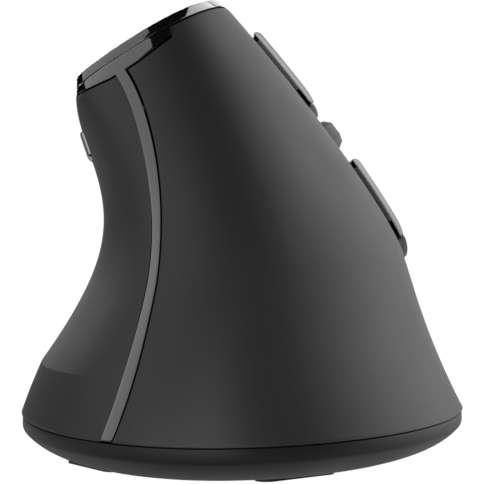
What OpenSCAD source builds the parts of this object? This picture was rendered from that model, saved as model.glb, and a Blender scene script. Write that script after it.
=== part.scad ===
// Cordless vertical mouse for the right hand: the thumb side faces -X, the fingers +X, the palm heel -Y.
// The origin lies on the desk, under the middle of the base rim.

/* [Body] */
// Width of the base rim
base_w = 76.2; // [72:0.1:82]
// Length of the base rim
base_l = 116; // [110:0.5:122]
// Height of the seam between base and shells
seam_z = 6.8; // [6.2:0.1:7.6]
// Height of the cap seam on the thumb side
cap_left_z = 59.5; // [56:0.1:62]
// Height of the cap seam on the finger side
cap_right_z = 75.7; // [73:0.1:78]
// Wall of the shells
wall = 2; // [1.6:0.1:2.3]
// Gap between fixed mouldings
seam_gap = 0.3; // [0.2:0.05:0.4]
// Depth of the half lap between base and shells
lap = 0.9; // [0.7:0.05:1]
// Height of the tongue in the half lap
tongue_h = 1.6; // [1:0.1:1.8]

/* [Thumb side] */
// First bend of the thumb side's profile, above the rim
thumb_x1 = -34.8; // [-38:0.1:-34]
// Second bend, where the ledge ends
thumb_x2 = -26; // [-28:0.1:-23]
// Third bend, at the waist
thumb_x3 = -15; // [-19:0.1:-14]
// Fourth bend, below the cap
thumb_x4 = -29.7; // [-31:0.1:-26]
// End of the profile at the cap seam
thumb_x5 = -28.1; // [-31:0.1:-27]
// Level of the ledge crease, as a share of the side's height
ledge_v = 0.175; // [0.1:0.005:0.22]
// Height of the crease
ledge_h = 0.5; // [0:0.05:0.6]
// Reach of the crease to each side, as a share of the side's height
ledge_w = 0.145; // [0.08:0.005:0.2]

/* [Finger side] */
// Bend of the flare above the rim
flare_x1 = 30.6; // [28.5:0.1:32]
// Upper end of the flare
flare_x2 = 27.7; // [27:0.1:29]
// Height of the knuckle where the flare meets the finger face
knuckle_z = 36; // [33:0.5:39]
// Offset of the finger face at the knuckle
finger_x = 27.2; // [26:0.1:28]
// Lean of the finger face
finger_slope = 0.62; // [0.57:0.005:0.64]
// Bow of the finger face at the cap seam
finger_bow = 5.2; // [3.5:0.1:6]
// Softness of the knuckle
knuckle_soft = 1.5; // [0.8:0.1:3]

/* [Back and front] */
// First bend of the back's profile
back_y1 = -52.5; // [-57:0.5:-51]
// Second bend of the back's profile
back_y2 = -35.5; // [-41:0.5:-33]
// End of the back's profile at the cap seam
back_y3 = -21; // [-27:0.5:-18]
// Second bend of the front's profile
front_y2 = 57; // [54:0.5:59]
// End of the front's profile at the cap seam
front_y3 = 50; // [47:0.5:53]
// Where the body is widest
wide_y = 11; // [9:0.5:13]
// Place of the rearmost line across the rim, as a share of the width
heel_low = 0.44; // [0.4:0.01:0.5]
// Place of the rearmost line across the cap, as a share of the width
heel_high = 0.4; // [0.37:0.01:0.45]
// Squareness of the thumb side's back quarter at the rim
square_bl = 2.05; // [2:0.05:2.5]
// Squareness of the thumb side's back quarter at the cap
top_bl = 3.2; // [2.8:0.1:3.6]
// Squareness of the finger side's back quarter at the rim
square_br = 1.85; // [1.8:0.05:2.2]
// Squareness of the finger side's back quarter at the cap
top_br = 2.2; // [2:0.05:2.5]
// Squareness of the finger side's front quarter
square_fr = 3; // [2.6:0.1:3.4]
// Squareness of the thumb side's front quarter
square_fl = 2.4; // [2.1:0.1:3]

/* [Spine trim] */
// Width of the trim strip at the rim
trim_w = 2.4; // [1.6:0.1:2.6]
// Width of the trim strip at the cap
trim_top_w = 1.6; // [1.4:0.1:2.2]
// Angle of the strip at the rim, from the rearmost line
trim_a0 = -26.5; // [-27:0.1:-22]
// First bend of the strip
trim_a1 = -18; // [-21:0.5:-9]
// Second bend of the strip
trim_a2 = -19.7; // [-30:0.1:-17]
// Third bend of the strip
trim_a3 = -45.2; // [-48:0.1:-33]
// Fourth bend of the strip
trim_a4 = 7.8; // [-6:0.1:10]
// Angle of the strip at the cap seam
trim_a5 = -8.9; // [-12:0.1:-8]
// Height of the trim's cross head at the strip
head_h = 3.3; // [2.8:0.1:4]
// Height of the cross head at the ends of its arms
arm_h = 1.5; // [1.2:0.1:1.8]
// Angle at which the cross head ends on the palm side
head_a = 21.4; // [19:0.1:30]
// Lean of the cross head's end on the palm side
head_lean = 2.2; // [0:0.1:5]

/* [Top cap] */
// Height of the cap at its edge
cap_h = 1.6; // [1.4:0.1:3.2]
// Extra height of the cap's crown
cap_crown = 0.3; // [0.2:0.05:0.8]
// Depth of the rim that drops into the shells
cap_rim = 1.6; // [1.2:0.1:1.8]
// Length of the pointer speed button
dpi_l = 10; // [8:0.5:11]
// Width of the pointer speed button
dpi_w = 5; // [4:0.5:6]
// Height of the pointer speed button above the crown
dpi_proud = 0.4; // [0.2:0.1:0.6]
// Place of the pointer speed button along the body
dpi_y = 30; // [29.5:0.5:31]
// Travel of the pointer speed button
dpi_travel = 0.4; // [0.3:0.05:0.5]

/* [Main buttons] */
// Width of the index finger's button along the slope
index_w = 16.4; // [15.4:0.1:16.8]
// Width of the middle finger's button along the slope
middle_w = 17.8; // [16.5:0.1:18.4]
// Distance from the wheel's middle plane to each button
button_land = 5.6; // [5.4:0.1:6]
// Rear edge of both buttons
button_y0 = 10; // [9:0.5:11]
// Front edge of both buttons
button_y1 = 47; // [44:0.5:48]
// Height of the buttons above the shell
button_proud = 1.8; // [1.2:0.1:2.2]
// Depth of the buttons' skirt below the shell's surface
button_skirt = 2.4; // [2.2:0.1:2.6]
// Gap around the buttons
button_gap = 0.45; // [0.4:0.05:0.5]
// Edge chamfer of the buttons
button_edge = 0.5; // [0.3:0.1:0.8]
// Radius of the buttons' upper ends
button_round = 1.2; // [0.8:0.1:1.4]
// Fall of the buttons' outer faces towards their lower ends
button_fall = 0.35; // [0.2:0.05:0.5]
// Height of the shell's lip below the index button
index_lip = 1.35; // [0.3:0.05:1.5]
// Height of the shell's lip below the middle button
middle_lip = 1.75; // [0.5:0.05:1.9]
// Reach of the lip below the middle button
lip_run = 4.2; // [3:0.1:5]
// Place of the hinge pins along the body
hinge_y = 15; // [14.5:0.5:15.5]
// Depth of the hinge pins below the finger face
hinge_depth = 5.8; // [5.6:0.1:6.2]
// Radius of the hinge pins
hinge_r = 1; // [0.8:0.05:1.1]
// Running clearance of pins in their bores
run_gap = 0.05; // [0.03:0.01:0.08]

/* [Wheel] */
// Height of the wheel's middle below the cap seam
wheel_drop = 21.6; // [21:0.1:22]
// Radius of the tyre
wheel_r = 11.5; // [11:0.1:12]
// Width of the tyre
wheel_w = 5.8; // [5:0.1:6]
// Height of the tyre above the finger face
wheel_proud = 3; // [2:0.1:3.4]
// Place of the wheel along the body
wheel_y = 26; // [25:0.5:27]
// Depth of the tyre's rubber
tyre_t = 2.5; // [2:0.1:3]
// Width of the flat tread
tread_w = 2.8; // [2.4:0.1:3.2]
// Depth of the tyre's sloping flanks
flank_h = 1.7; // [1.3:0.1:1.9]
// Width and depth of the fine groove at each edge of the tread
groove = 0.2; // [0.1:0.05:0.3]
// Radius of the axle
axle_r = 1.5; // [1.2:0.1:1.8]
// Thickness of the carriage's arms
arm_t = 2; // [1.6:0.1:2.2]
// Radius of the carriage's pivot pins
pivot_r = 1.2; // [1:0.1:1.4]

/* [Thumb buttons] */
// Lower edge of the buttons, as a share of the side's height
side_v0 = 0.795; // [0.79:0.005:0.83]
// Upper edge of the buttons
side_v1 = 0.89; // [0.87:0.005:0.93]
// Rear edge of the back button
side_y0 = -9; // [-10:0.5:-8]
// Split between the two buttons
side_ym = 8; // [7:0.5:9]
// Front edge of the forward button
side_y1 = 24; // [23:0.5:24.5]
// Height of the buttons above the shell
side_proud = 0.55; // [0.4:0.05:1.4]
// Travel of the thumb buttons
side_travel = 0.5; // [0.3:0.05:0.6]

/* [Base] */
// Thickness of the glide feet
foot_t = 0.6; // [0.5:0.05:0.8]
// Width of the glide feet
foot_w = 3.4; // [3:0.1:3.6]
// Length of the glide feet
foot_l = 15; // [13:0.5:16]
// Thickness of the base floor
floor_t = 1.8; // [1.6:0.1:2]
// Height of the crease where the underside's round begins
crease_z = 4.7; // [4.4:0.1:5]
// Share of the rim's outline that the flat underside keeps
flat_share = 0.72; // [0.71:0.005:0.83]
// Angle of the underside's round at the crease
round_a = 62; // [50:1:70]
// Wall of the base
base_wall = 2.4; // [2.2:0.1:2.8]
// Step from the shells in to the base's rim wall
base_step = 0.2; // [0.1:0.05:0.3]

/* [Battery bay] */
// Length of a battery
cell_l = 44.5; // [44:0.1:45]
// Radius of a battery
cell_r = 5.2; // [5:0.05:5.25]
// Room for a contact at each end
contact_room = 1; // [0.8:0.1:1.2]
// Thickness of the contact plates
contact_t = 0.4; // [0.3:0.05:0.5]
// Wall of the bay
bay_wall = 1.5; // [1.2:0.1:1.6]
// Middle of the bay across the body
bay_x = -7; // [-8:0.1:-6.8]
// Front end of the bay's inside
bay_y1 = 11.5; // [11:0.1:11.8]
// Gap around the battery door
door_gap = 0.3; // [0.25:0.05:0.4]
// Radius of the door's hinge pins
door_pin_r = 0.5; // [0.4:0.05:0.55]

/* [Electronics] */
// Thickness of the circuit boards
board_t = 1.6; // [1.2:0.1:1.8]
// Underside of the main board above the desk
main_z = 7.6; // [7.2:0.1:8]
// Depth of the switch board below the finger face
board_depth = 13; // [12.8:0.1:13.4]
// Length of a micro switch
switch_l = 12.8; // [12:0.1:13]
// Width of a micro switch
switch_w = 5.8; // [5.4:0.1:6]
// Height of a micro switch
switch_h = 6.5; // [6:0.1:6.6]
// Height of a switch plunger
plunger_h = 0.7; // [0.5:0.1:0.8]
// Side of a tactile switch
tact_w = 4.5; // [4:0.1:5]
// Height of the wheel's click switch
click_h = 1.8; // [1.6:0.1:2]
// Middle of the pointing sensor across the body
sensor_x = -4; // [-5:0.5:-3]
// Middle of the pointing sensor along the body
sensor_y = 29; // [28:0.5:31]
// Travel of the power switch
power_travel = 2.5; // [2:0.1:3]
// Thickness of the frame's plate and webs
frame_t = 2.6; // [2.2:0.1:3]
// Radius of the case screws' shanks
screw_r = 1.1; // [0.9:0.05:1.25]
// Radius of the case screws' heads
screw_head = 2.2; // [2:0.1:2.4]

/* [Hidden] */
$fn = 40;

// Curves of the skin: v runs from the base seam (0) to the cap seam (1), and the angle a runs from the
// rearmost line (0) past the finger side (90) to the front (180), and past the thumb side (-90).
function bez(c, t) = len(c) == 1 ? c[0] : bez([for (i = [0:len(c) - 2]) c[i] * (1 - t) + c[i + 1] * t], t);
function power(s, e) = sign(s) * pow(abs(s), e);
function unit(p) = p / norm(p);
function mix(a, b, t) = a * (1 - t) + b * t;
function clamp(t) = max(0, min(1, t));
function ease(t) = let (c = clamp(t)) c * c * (3 - 2 * c);
function left_z(v) = mix(seam_z, cap_left_z, v);
function right_z(v) = mix(seam_z, cap_right_z, v);
function left_x(v) = bez([-base_w / 2, thumb_x1, thumb_x2, thumb_x3, thumb_x4, thumb_x5], v);
function flare(z) = let (t = (z - seam_z) / (knuckle_z - seam_z))
  t < 1 ? bez([base_w / 2, flare_x1, flare_x2], t) : flare_x2 + 2 * (flare_x2 - flare_x1) * (t - 1);
function finger(z) = let (d = z - knuckle_z, t = d / (cap_right_z - knuckle_z))
  finger_x - finger_slope * d - finger_bow * t * abs(t);
function right_x(v) = let (z = right_z(v), a = flare(z), b = finger(z))
  (a + b - sqrt(pow(a - b, 2) + pow(knuckle_soft, 2))) / 2;
function back_y(v) = bez([-base_l / 2, back_y1, back_y2, back_y3], v);
function front_y(v) = bez([base_l / 2, base_l / 2, front_y2, front_y3], v);
function back_square(low, top, v) = mix(low, top, pow(clamp(v), 3));
function thumb_square(v) = back_square(square_bl, top_bl, v);
function palm_square(v) = back_square(square_br, top_br, v);
function square(a, v) = cos(a) > 0 ? (a < 0 ? thumb_square(v) : palm_square(v))
  : (a < 0 ? square_fl : square_fr);
function ledge(a, v) = ledge_h * pow(max(0, 1 - abs(v - ledge_v) / ledge_w), 2)
  * ease((-a - 32) / 28) * (1 - ease((-a - 120) / 40));
function skin(a, v) = let (
    l = [left_x(v), left_z(v)], r = [right_x(v), right_z(v)],
    e = 2 / square(a, v), h = mix(heel_low, heel_high, v),
    p = h + (a < 0 ? h : 1 - h) * power(sin(a), e),
    q = (cos(a) > 0 ? back_y(v) - wide_y : front_y(v) - wide_y) * pow(abs(cos(a)), e),
    m = l + (r - l) * p)
  [m[0] - ledge(a, v), wide_y + q, m[1]];
function slice_up(v) = let (w = [right_x(v) - left_x(v), right_z(v) - left_z(v)]) unit([-w[1], 0, w[0]]);
function normal(a, v) = unit(cross(skin(a + 1, v) - skin(a - 1, v),
  skin(a, min(1, v + 0.01)) - skin(a, max(0, v - 0.01))));
// Offsets run square to the skin, and turn into the plane of the slice at both seams.
function out(a, v) = let (n = normal(a, v), u = slice_up(v), m = n - (n * u) * u,
  k = clamp(min(v, 1 - v) / 0.05))
  n * k + m / (m * m) * (1 - k);
function off(a, v, d) = skin(a, v) + out(a, v) * d;
function per_degree(a, v) = norm(skin(a + 1, v) - skin(a - 1, v)) / 2;
function v_of(z) = (z - seam_z) / (cap_right_z - seam_z);
function a_finger(y, v) = y < wide_y
  ? acos(pow(clamp((wide_y - y) / (wide_y - back_y(v))), palm_square(v) / 2))
  : 180 - acos(pow(clamp((y - wide_y) / (front_y(v) - wide_y)), square_fr / 2));
function a_thumb(y, v) = y < wide_y
  ? -acos(pow(clamp((wide_y - y) / (wide_y - back_y(v))), thumb_square(v) / 2))
  : acos(pow(clamp((y - wide_y) / (front_y(v) - wide_y)), square_fl / 2)) - 180;
function spread(stops, counts) = concat([stops[0]],
  [for (k = [0:len(counts) - 1], i = [1:counts[k]]) mix(stops[k], stops[k + 1], i / counts[k])]);

// Edges of the spine trim: its cross head is deepest at the strip and tapers along both arms, so the
// levels between the thumb buttons and the cap sink towards the strip.
v_per_mm = 0.05 / norm(skin(0, 1) - skin(0, 0.95));
head_v = 1 - arm_h * v_per_mm;
head_gap_v = seam_gap * v_per_mm;
taper_v = side_v1 + 0.02;
taper_a = -52;
function sink(v) = (head_h - arm_h) * v_per_mm
  * (v < head_v ? clamp((v - taper_v) / (head_v - head_gap_v - taper_v)) : (1 - v) / (1 - head_v));
function deep(a) = a > trim_a5 ? clamp((head_a - a) / (head_a - trim_a5 - 5))
  : clamp((a - taper_a) / (trim_a5 - 5 - taper_a));
function level(a, v) = v - sink(v) * deep(a);
function head_end(v) = head_a - head_lean * clamp((1 - v) / (1 - head_v));
function trim_a(v) = bez([trim_a0, trim_a1, trim_a2, trim_a3, trim_a4, trim_a5], v);
function trim_edge(v, side, gap) = let (s = v - sink(v))
  trim_a(s) + side * (mix(trim_w, trim_top_w, s) / 2 + gap) / per_degree(trim_a(s), s);

// Finger face: local x runs down the slope, y forward and z outward, from the wheel's middle plane.
wheel_z = cap_right_z - wheel_drop;
finger_tilt = atan2(2, finger(wheel_z - 1) - finger(wheel_z + 1));
finger_o = [right_x(v_of(wheel_z)), wheel_z];
function ff(x, z) = finger_o
  + [x * cos(finger_tilt) + z * sin(finger_tilt), z * cos(finger_tilt) - x * sin(finger_tilt)];
module on_finger() {
  translate([finger_o[0], 0, finger_o[1]]) rotate([0, finger_tilt, 0]) children();
}
function v_slope(x) = v_of(wheel_z - x * sin(finger_tilt));
index_v = [v_slope(-button_land), v_slope(-button_land - index_w)];
middle_v = [v_slope(button_land + middle_w), v_slope(button_land)];
slot_half = wheel_w / 2 + 0.5;
slot_y = [wheel_y - wheel_r + 1, wheel_y + wheel_r];
// The slices drift up the slope towards the front, so the slot's lower edge is set at its front end.
function slope_x(y, v) = let (p = skin(a_finger(y, v), v))
  (p[0] - finger_o[0]) * cos(finger_tilt) - (p[2] - finger_o[1]) * sin(finger_tilt);
slot_v = [v_slope(2 * slot_half - slope_x(slot_y[1], v_slope(slot_half))), v_slope(-slot_half)];
wheel_cz = wheel_proud - wheel_r;
index_x = -button_land - index_w / 2;
middle_x = button_land + middle_w / 2;
lug_w = 5;
post_gap = 0.6;
post_w = 2.9;
pivot_y = wheel_y - wheel_r - 5;
pivot_x = wheel_w / 2 + 1.1 + arm_t;
bar_y = wheel_y + wheel_r + 3;
bar_w = 3.5;
switch_y = wheel_y + 5;
push_y = switch_y + 4;
plate_z = -board_depth - board_t;
plate_x = [index_x - lug_w / 2 - post_gap - post_w - 1, middle_x + lug_w / 2 + post_gap + post_w + 2];
plate_y = [pivot_y - 3, bar_y + bar_w + 4];

// Thumb side: local x runs up, y forward and z outward, from the middle of the thumb buttons.
side_v = (side_v0 + side_v1) / 2;
side_n = normal(-90, side_v);
side_tilt = atan2(side_n[0], side_n[2]);
side_o = [skin(-90, side_v)[0], skin(-90, side_v)[2]];
function tf(x, z) = side_o
  + [x * cos(side_tilt) + z * sin(side_tilt), z * cos(side_tilt) - x * sin(side_tilt)];
module on_thumb() {
  translate([side_o[0], 0, side_o[1]]) rotate([0, side_tilt, 0]) children();
}
side_skirt = wall + 0.6;
stem_l = 3;
tact_h = 3.4;
side_board_z = -side_skirt - stem_l - side_travel - 0.1 - plunger_h - tact_h;
side_at = [(side_y0 + side_ym) / 2, (side_ym + side_y1) / 2];

// Cap: local x runs up the slope towards the fingers, y forward and z outward, from the middle of the
// cap seam.
cap_w = [right_x(1) - left_x(1), right_z(1) - left_z(1)];
cap_tilt = atan2(cap_w[1], cap_w[0]);
cap_o = [(right_x(1) + left_x(1)) / 2, (back_y3 + front_y3) / 2, (right_z(1) + left_z(1)) / 2];
module on_cap() {
  translate([cap_o[0], 0, cap_o[2]]) rotate([0, -cap_tilt, 0]) children();
}
cap_top = cap_h + cap_crown;
cap_roof = 0.6;
dpi_flange = 0.7;
dpi_stem = 0.8;
dpi_tact_z = cap_roof - seam_gap - dpi_flange - dpi_stem - dpi_travel - 0.1 - plunger_h;
dpi_tact_h = 2.2;
dpi_board_z = dpi_tact_z - dpi_tact_h - board_t;

// Levels and places in the base
pan_z = foot_t;
floor_z = pan_z + floor_t;
bay_in = [2 * cell_r * 2 + 0.8, cell_l + 2 * contact_room];
bay_y0 = bay_y1 - bay_in[1];
bay_top = floor_z + 2 * cell_r + 1;
cell_z = floor_z + 0.3 + cell_r;
door_r = (floor_t - 0.2) / 2;
door_z = pan_z + door_r;
door_w = bay_in[0] - 0.6;
door_y0 = bay_y0 + 0.5;
door_y1 = bay_y1 - 0.5;
web_y = [bay_y1 + bay_wall + 1.2, bar_y + 1.5];
foot_x = [9, 18];
foot_block_h = 6;
ear_x = [bay_x - bay_in[0] / 2 - bay_wall - screw_head - 0.8,
  bay_x + bay_in[0] / 2 + bay_wall + screw_head + 0.8];
ear_y = -8;
ear_h = 5;
screw_bite = 3.6;
screw_at = [[(foot_x[0] + foot_x[1]) / 2, web_y[0] + frame_t / 2],
  [(foot_x[0] + foot_x[1]) / 2, web_y[1] - frame_t / 2],
  [ear_x[0], ear_y], [ear_x[1], ear_y]];
main_x = [-27, 4];
main_y = [bay_y1 + bay_wall + 1.4, 44];
boss_r = 2.4;
boss_at = [[main_x[0] + 3, main_y[0] + 3], [main_x[0] + 3, main_y[1] - 3], [main_x[1] - 3, main_y[1] - 3]];
power_x = -17;
power_y = 24;
power_knob = [4, 5];

// One closed sheet between an outer and an inner grid of points, given in rows from low to high and
// along each row from left to right as seen from outside. Cells that keep(row, column) refuses stay
// open.
module sheet(o, n, keep) {
  rows = len(o);
  cols = len(o[0]);
  function id(s, j, i) = (s * rows + j) * cols + i;
  function on(j, i) = j >= 0 && i >= 0 && j < rows - 1 && i < cols - 1 && keep(j, i);
  function quad(a, b, c, d) = [[a, b, c], [a, c, d]];
  cells = [for (j = [0:rows - 2], i = [0:cols - 2]) if (on(j, i)) [j, i]];
  faces = [for (p = cells) let (j = p[0], i = p[1]) each concat(
    quad(id(0, j, i), id(0, j + 1, i), id(0, j + 1, i + 1), id(0, j, i + 1)),
    quad(id(1, j, i), id(1, j, i + 1), id(1, j + 1, i + 1), id(1, j + 1, i)),
    on(j, i - 1) ? [] : quad(id(0, j + 1, i), id(0, j, i), id(1, j, i), id(1, j + 1, i)),
    on(j, i + 1) ? [] : quad(id(0, j, i + 1), id(0, j + 1, i + 1), id(1, j + 1, i + 1), id(1, j, i + 1)),
    on(j - 1, i) ? [] : quad(id(0, j, i), id(0, j, i + 1), id(1, j, i + 1), id(1, j, i)),
    on(j + 1, i) ? [] : quad(id(0, j + 1, i + 1), id(0, j + 1, i), id(1, j + 1, i), id(1, j + 1, i + 1)))];
  polyhedron([for (g = [o, n], row = g, p = row) p], faces, convexity = 8);
}

// One closed solid through a stack of rings, each counted the same way round and closed flat at both ends.
module ring_stack(rings) {
  k = len(rings);
  m = len(rings[0]);
  function id(j, i) = j * m + i % m;
  sides = [for (j = [0:k - 2], i = [0:m - 1]) each [
    [id(j, i), id(j + 1, i), id(j + 1, i + 1)],
    [id(j, i), id(j + 1, i + 1), id(j, i + 1)]]];
  polyhedron([for (r = rings, p = r) p], concat(sides,
    [[for (i = [0:m - 1]) i]], [[for (i = [m - 1:-1:0]) (k - 1) * m + i]]), convexity = 8);
}

// Rows of a shell's lower edge: the tongue that drops into the base and the shoulder above it.
function rim(a, d, z) = let (p = skin(a, 0), t = skin(a + 1, 0) - skin(a - 1, 0), n = unit([t[1], -t[0]]))
  [p[0] + n[0] * d, p[1] + n[1] * d, z];
tongue_z = seam_z - tongue_h;
shoulder_z = seam_z + seam_gap / 2;
tongue_out = -lap - seam_gap;
tongue_in = -wall - 0.2;
function shell_outer(stops, vs) = concat(
  [[for (a = stops(0)) rim(a, tongue_out, tongue_z)], [for (a = stops(0)) rim(a, tongue_out, shoulder_z)],
    [for (a = stops(0)) rim(a, 0, shoulder_z)]],
  [for (j = [1:len(vs) - 1]) [for (a = stops(vs[j])) off(a, level(a, vs[j]), lip(a, vs[j]))]]);
function shell_inner(stops, vs) = concat(
  [[for (a = stops(0)) rim(a, tongue_in, tongue_z)],
    [for (a = stops(0)) rim(a, tongue_in, shoulder_z - 0.4)],
    [for (a = stops(0)) rim(a, tongue_in - 0.1, shoulder_z)]],
  [for (j = [1:len(vs) - 1]) [for (a = stops(vs[j])) off(a, level(a, vs[j]), -wall)]]);

// The shell swells to a lip below each main button, over the length of the button.
lip_v = lip_run * sin(finger_tilt) / (cap_right_z - seam_z);
function swell(v, top, bottom) = v > top + 0.0001 || v < bottom ? 0
  : sqrt(1 - pow((top - v) / (top - bottom), 2));
function lip(a, v) = let (y = skin(a, v)[1])
  a < 0 ? 0 : ease((y - button_y0 + button_gap) / 2.5) * (1 - ease((y - button_y1) / 3))
    * (index_lip * swell(v, index_v[0], slot_v[1]) + middle_lip
      * swell(v, middle_v[0], middle_v[0] - lip_v));

// Palm shell: columns run from the trim to the front seam, with straight ones at both ends of each opening.
palm_vs = spread([0, middle_v[0] - lip_v, middle_v[0], middle_v[1], slot_v[0], slot_v[1], index_v[0],
  index_v[1],
  head_v - head_gap_v, 1], [8, 4, 4, 1, 2, 3, 4, 1, 1]);
finger_ys = spread([button_y0 - button_gap, slot_y[0], slot_y[1], button_y1 + button_gap], [3, 5, 2]);
palm_n = [4, 10, len(finger_ys) - 1, 5];
front_gap = seam_gap / 2;
function palm_stops(v) = concat(
  spread([trim_edge(v, 1, seam_gap), head_end(v) + seam_gap / per_degree(head_a, v),
    a_finger(finger_ys[0], v)], [palm_n[0], palm_n[1]]),
  [for (k = [1:palm_n[2]]) a_finger(finger_ys[k], v)],
  [for (k = [1:palm_n[3]]) mix(a_finger(finger_ys[palm_n[2]], v), 180 - front_gap / per_degree(179, v),
    k / palm_n[3])]);
// Middle of a column of cells along the finger face, or a far value outside it
function palm_mid(i) = let (k = i - palm_n[0] - palm_n[1])
  k < 0 || k >= palm_n[2] ? 999 : (finger_ys[k] + finger_ys[k + 1]) / 2;
function palm_row(j) = j < 2 ? 0 : (palm_vs[j - 2] + palm_vs[j - 1]) / 2;
function within(t, r) = t > r[0] && t < r[1];
function palm_keep(j, i) = let (v = palm_row(j), y = palm_mid(i))
  !(v > head_v - head_gap_v && i < palm_n[0])
  && !(y < 900 && (within(v, index_v) || within(v, middle_v)))
  && !(within(y, slot_y) && within(v, slot_v));
module palm_shell() {
  color("#2b2b2c") sheet(shell_outer(function (v) palm_stops(v), palm_vs),
    shell_inner(function (v) palm_stops(v), palm_vs), function (j, i) palm_keep(j, i));
}

// Thumb shell: columns run from the front seam to the trim.
thumb_vs = spread([0, ledge_v, side_v0, side_v1, head_v - head_gap_v, 1], [4, 12, 3, 2, 1]);
thumb_ys = spread([side_y1 + button_gap, side_ym, side_y0 - button_gap], [4, 4]);
thumb_n = [6, len(thumb_ys) - 1, 7];
function thumb_stops(v) = concat(
  [for (k = [0:thumb_n[0]]) mix(-180 + front_gap / per_degree(-179, v), a_thumb(thumb_ys[0], v),
    k / thumb_n[0])],
  [for (k = [1:thumb_n[1]]) a_thumb(thumb_ys[k], v)],
  [for (k = [1:thumb_n[2]]) mix(a_thumb(thumb_ys[thumb_n[1]], v), trim_edge(v, -1, seam_gap),
    k / thumb_n[2])]);
function thumb_row(j) = j < 2 ? 0 : (thumb_vs[j - 2] + thumb_vs[j - 1]) / 2;
function thumb_keep(j, i) = let (v = thumb_row(j))
  !(v > head_v - head_gap_v && i >= thumb_n[0])
  && !(i >= thumb_n[0] && i < thumb_n[0] + thumb_n[1] && within(v, [side_v0, side_v1]));
module thumb_shell() {
  color("#333334") sheet(shell_outer(function (v) thumb_stops(v), thumb_vs),
    shell_inner(function (v) thumb_stops(v), thumb_vs), function (j, i) thumb_keep(j, i));
}

// Spine trim: the strip up the back and the cross head below the cap in one piece.
trim_vs = spread([seam_gap / cap_left_z, head_v, 1 - head_gap_v / 2], [22, 2]);
trim_n = [10, 2, 4];
function trim_stops(v) = spread([a_thumb(side_y1, v), trim_edge(v, -1, 0), trim_edge(v, 1, 0), head_end(v)],
  trim_n);
module spine_trim() {
  color("#4a4a4c") sheet([for (v = trim_vs) [for (a = trim_stops(v)) skin(a, level(a, v))]],
    [for (v = trim_vs) [for (a = trim_stops(v)) off(a, level(a, v), -wall)]],
    function (j, i) j >= 22 || (i >= trim_n[0] && i < trim_n[0] + trim_n[1]));
}

// Top cap: a crowned lid over the cap seam with a rim that drops into the shells.
cap_angles = [for (i = [0:55]) -180 + (i + 0.5) * 360 / 56];
function cap_ring(s, h) = [for (a = cap_angles) cap_o + (skin(a, 1) - cap_o) * s + slice_up(1) * h];
module stadium(l, w) {
  translate([-w / 2, -(l - w) / 2]) square([w, l - w]);
  for (s = [-1, 1]) translate([0, s * (l - w) / 2]) circle(d = w);
}
module top_cap() {
  color("#161617") difference() {
    ring_stack([cap_ring(0.7, cap_roof), cap_ring(0.7, -cap_rim), cap_ring(0.78, -cap_rim),
      cap_ring(0.78, seam_gap / 2),
      cap_ring(0.995, seam_gap / 2), cap_ring(1, seam_gap / 2 + 0.1), cap_ring(1, cap_h - 0.35),
      cap_ring(0.996, cap_h - 0.12), cap_ring(0.985, cap_h),
      cap_ring(0.7, cap_h + cap_crown * 0.65), cap_ring(0.4, cap_top)]);
    on_cap() translate([0, dpi_y, 0]) linear_extrude(cap_top + 1)
      stadium(dpi_l + 2 * seam_gap, dpi_w + 2 * seam_gap);
  }
}

// Pointer speed button: a rounded bar with a flange that keeps it under the cap.
module dpi_button() {
  color("#1d1d1f") on_cap() translate([0, dpi_y, 0]) {
    flange_z = cap_roof - seam_gap - dpi_flange;
    translate([0, 0, flange_z]) linear_extrude(cap_top + dpi_proud - flange_z) stadium(dpi_l, dpi_w);
    translate([0, 0, flange_z]) linear_extrude(dpi_flange) stadium(dpi_l + 2, dpi_w + 2);
    translate([0, 0, flange_z - dpi_stem]) cylinder(r = 1.2, h = dpi_stem);
  }
}

module tact(h) {
  translate([-tact_w / 2, -tact_w / 2, 0]) cube([tact_w, tact_w, h]);
  translate([0, 0, h]) cylinder(r = 1.1, h = plunger_h);
}
module dpi_switch() {
  color("#39393b") on_cap() translate([0, dpi_y, dpi_tact_z - dpi_tact_h]) tact(dpi_tact_h);
}
module dpi_board() {
  color("#1f5a3c") on_cap() translate([-4.5, dpi_y - 5, dpi_board_z]) cube([9, 10, board_t]);
}

// Main buttons: a raised pad that follows the finger face, a hinge lug with its pin and a push post.
// The pad's outer face falls a little towards its lower end and rounds over at its upper end.
slope_v = sin(finger_tilt) / (cap_right_z - seam_z);
fall_run = 3.5;
function pad_drop(vs, v) = let (
    up = clamp((v - vs[len(vs) - 1]) / slope_v / button_round + 1),
    down = clamp(1 - (v - vs[0]) / slope_v / fall_run))
  button_round * (1 - sqrt(1 - up * up)) + button_fall * down * down;
function pad_grid(vs, ys, rise) = [for (v = vs) [for (i = [0:len(ys) - 1])
  let (edge = i == 0 || i == len(ys) - 1 ? button_edge : 0)
  off(a_finger(ys[i], v), v, rise - (rise > 0 ? pad_drop(vs, v) + edge : 0))]];
function pad_vs(r) = let (g = button_gap * slope_v, f = fall_run * slope_v, e = button_round * slope_v)
  concat(spread([r[0] + g, r[0] + g + f, r[1] - g - e], [3, 3]),
    [for (k = [1:4]) r[1] - g - e * (1 - sin(22.5 * k))]);
pad_ys = spread([button_y0, button_y0 + button_edge, button_y1 - button_edge, button_y1], [1, 8, 1]);
module main_button(r, x) {
  sheet(pad_grid(pad_vs(r), pad_ys, button_proud), pad_grid(pad_vs(r), pad_ys, -button_skirt),
    function (j, i) true);
  on_finger() {
    translate([x - lug_w / 2, hinge_y - 2, -hinge_depth - hinge_r - 0.2])
      cube([lug_w, 4, hinge_depth + hinge_r - 1]);
    translate([x - lug_w / 2 - post_gap - post_w, hinge_y, -hinge_depth]) rotate([0, 90, 0])
      cylinder(r = hinge_r, h = lug_w + 2 * (post_gap + post_w));
    translate([x, push_y, push_z]) cylinder(r = 1.2, h = -push_z - 2.2);
  }
}
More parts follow.
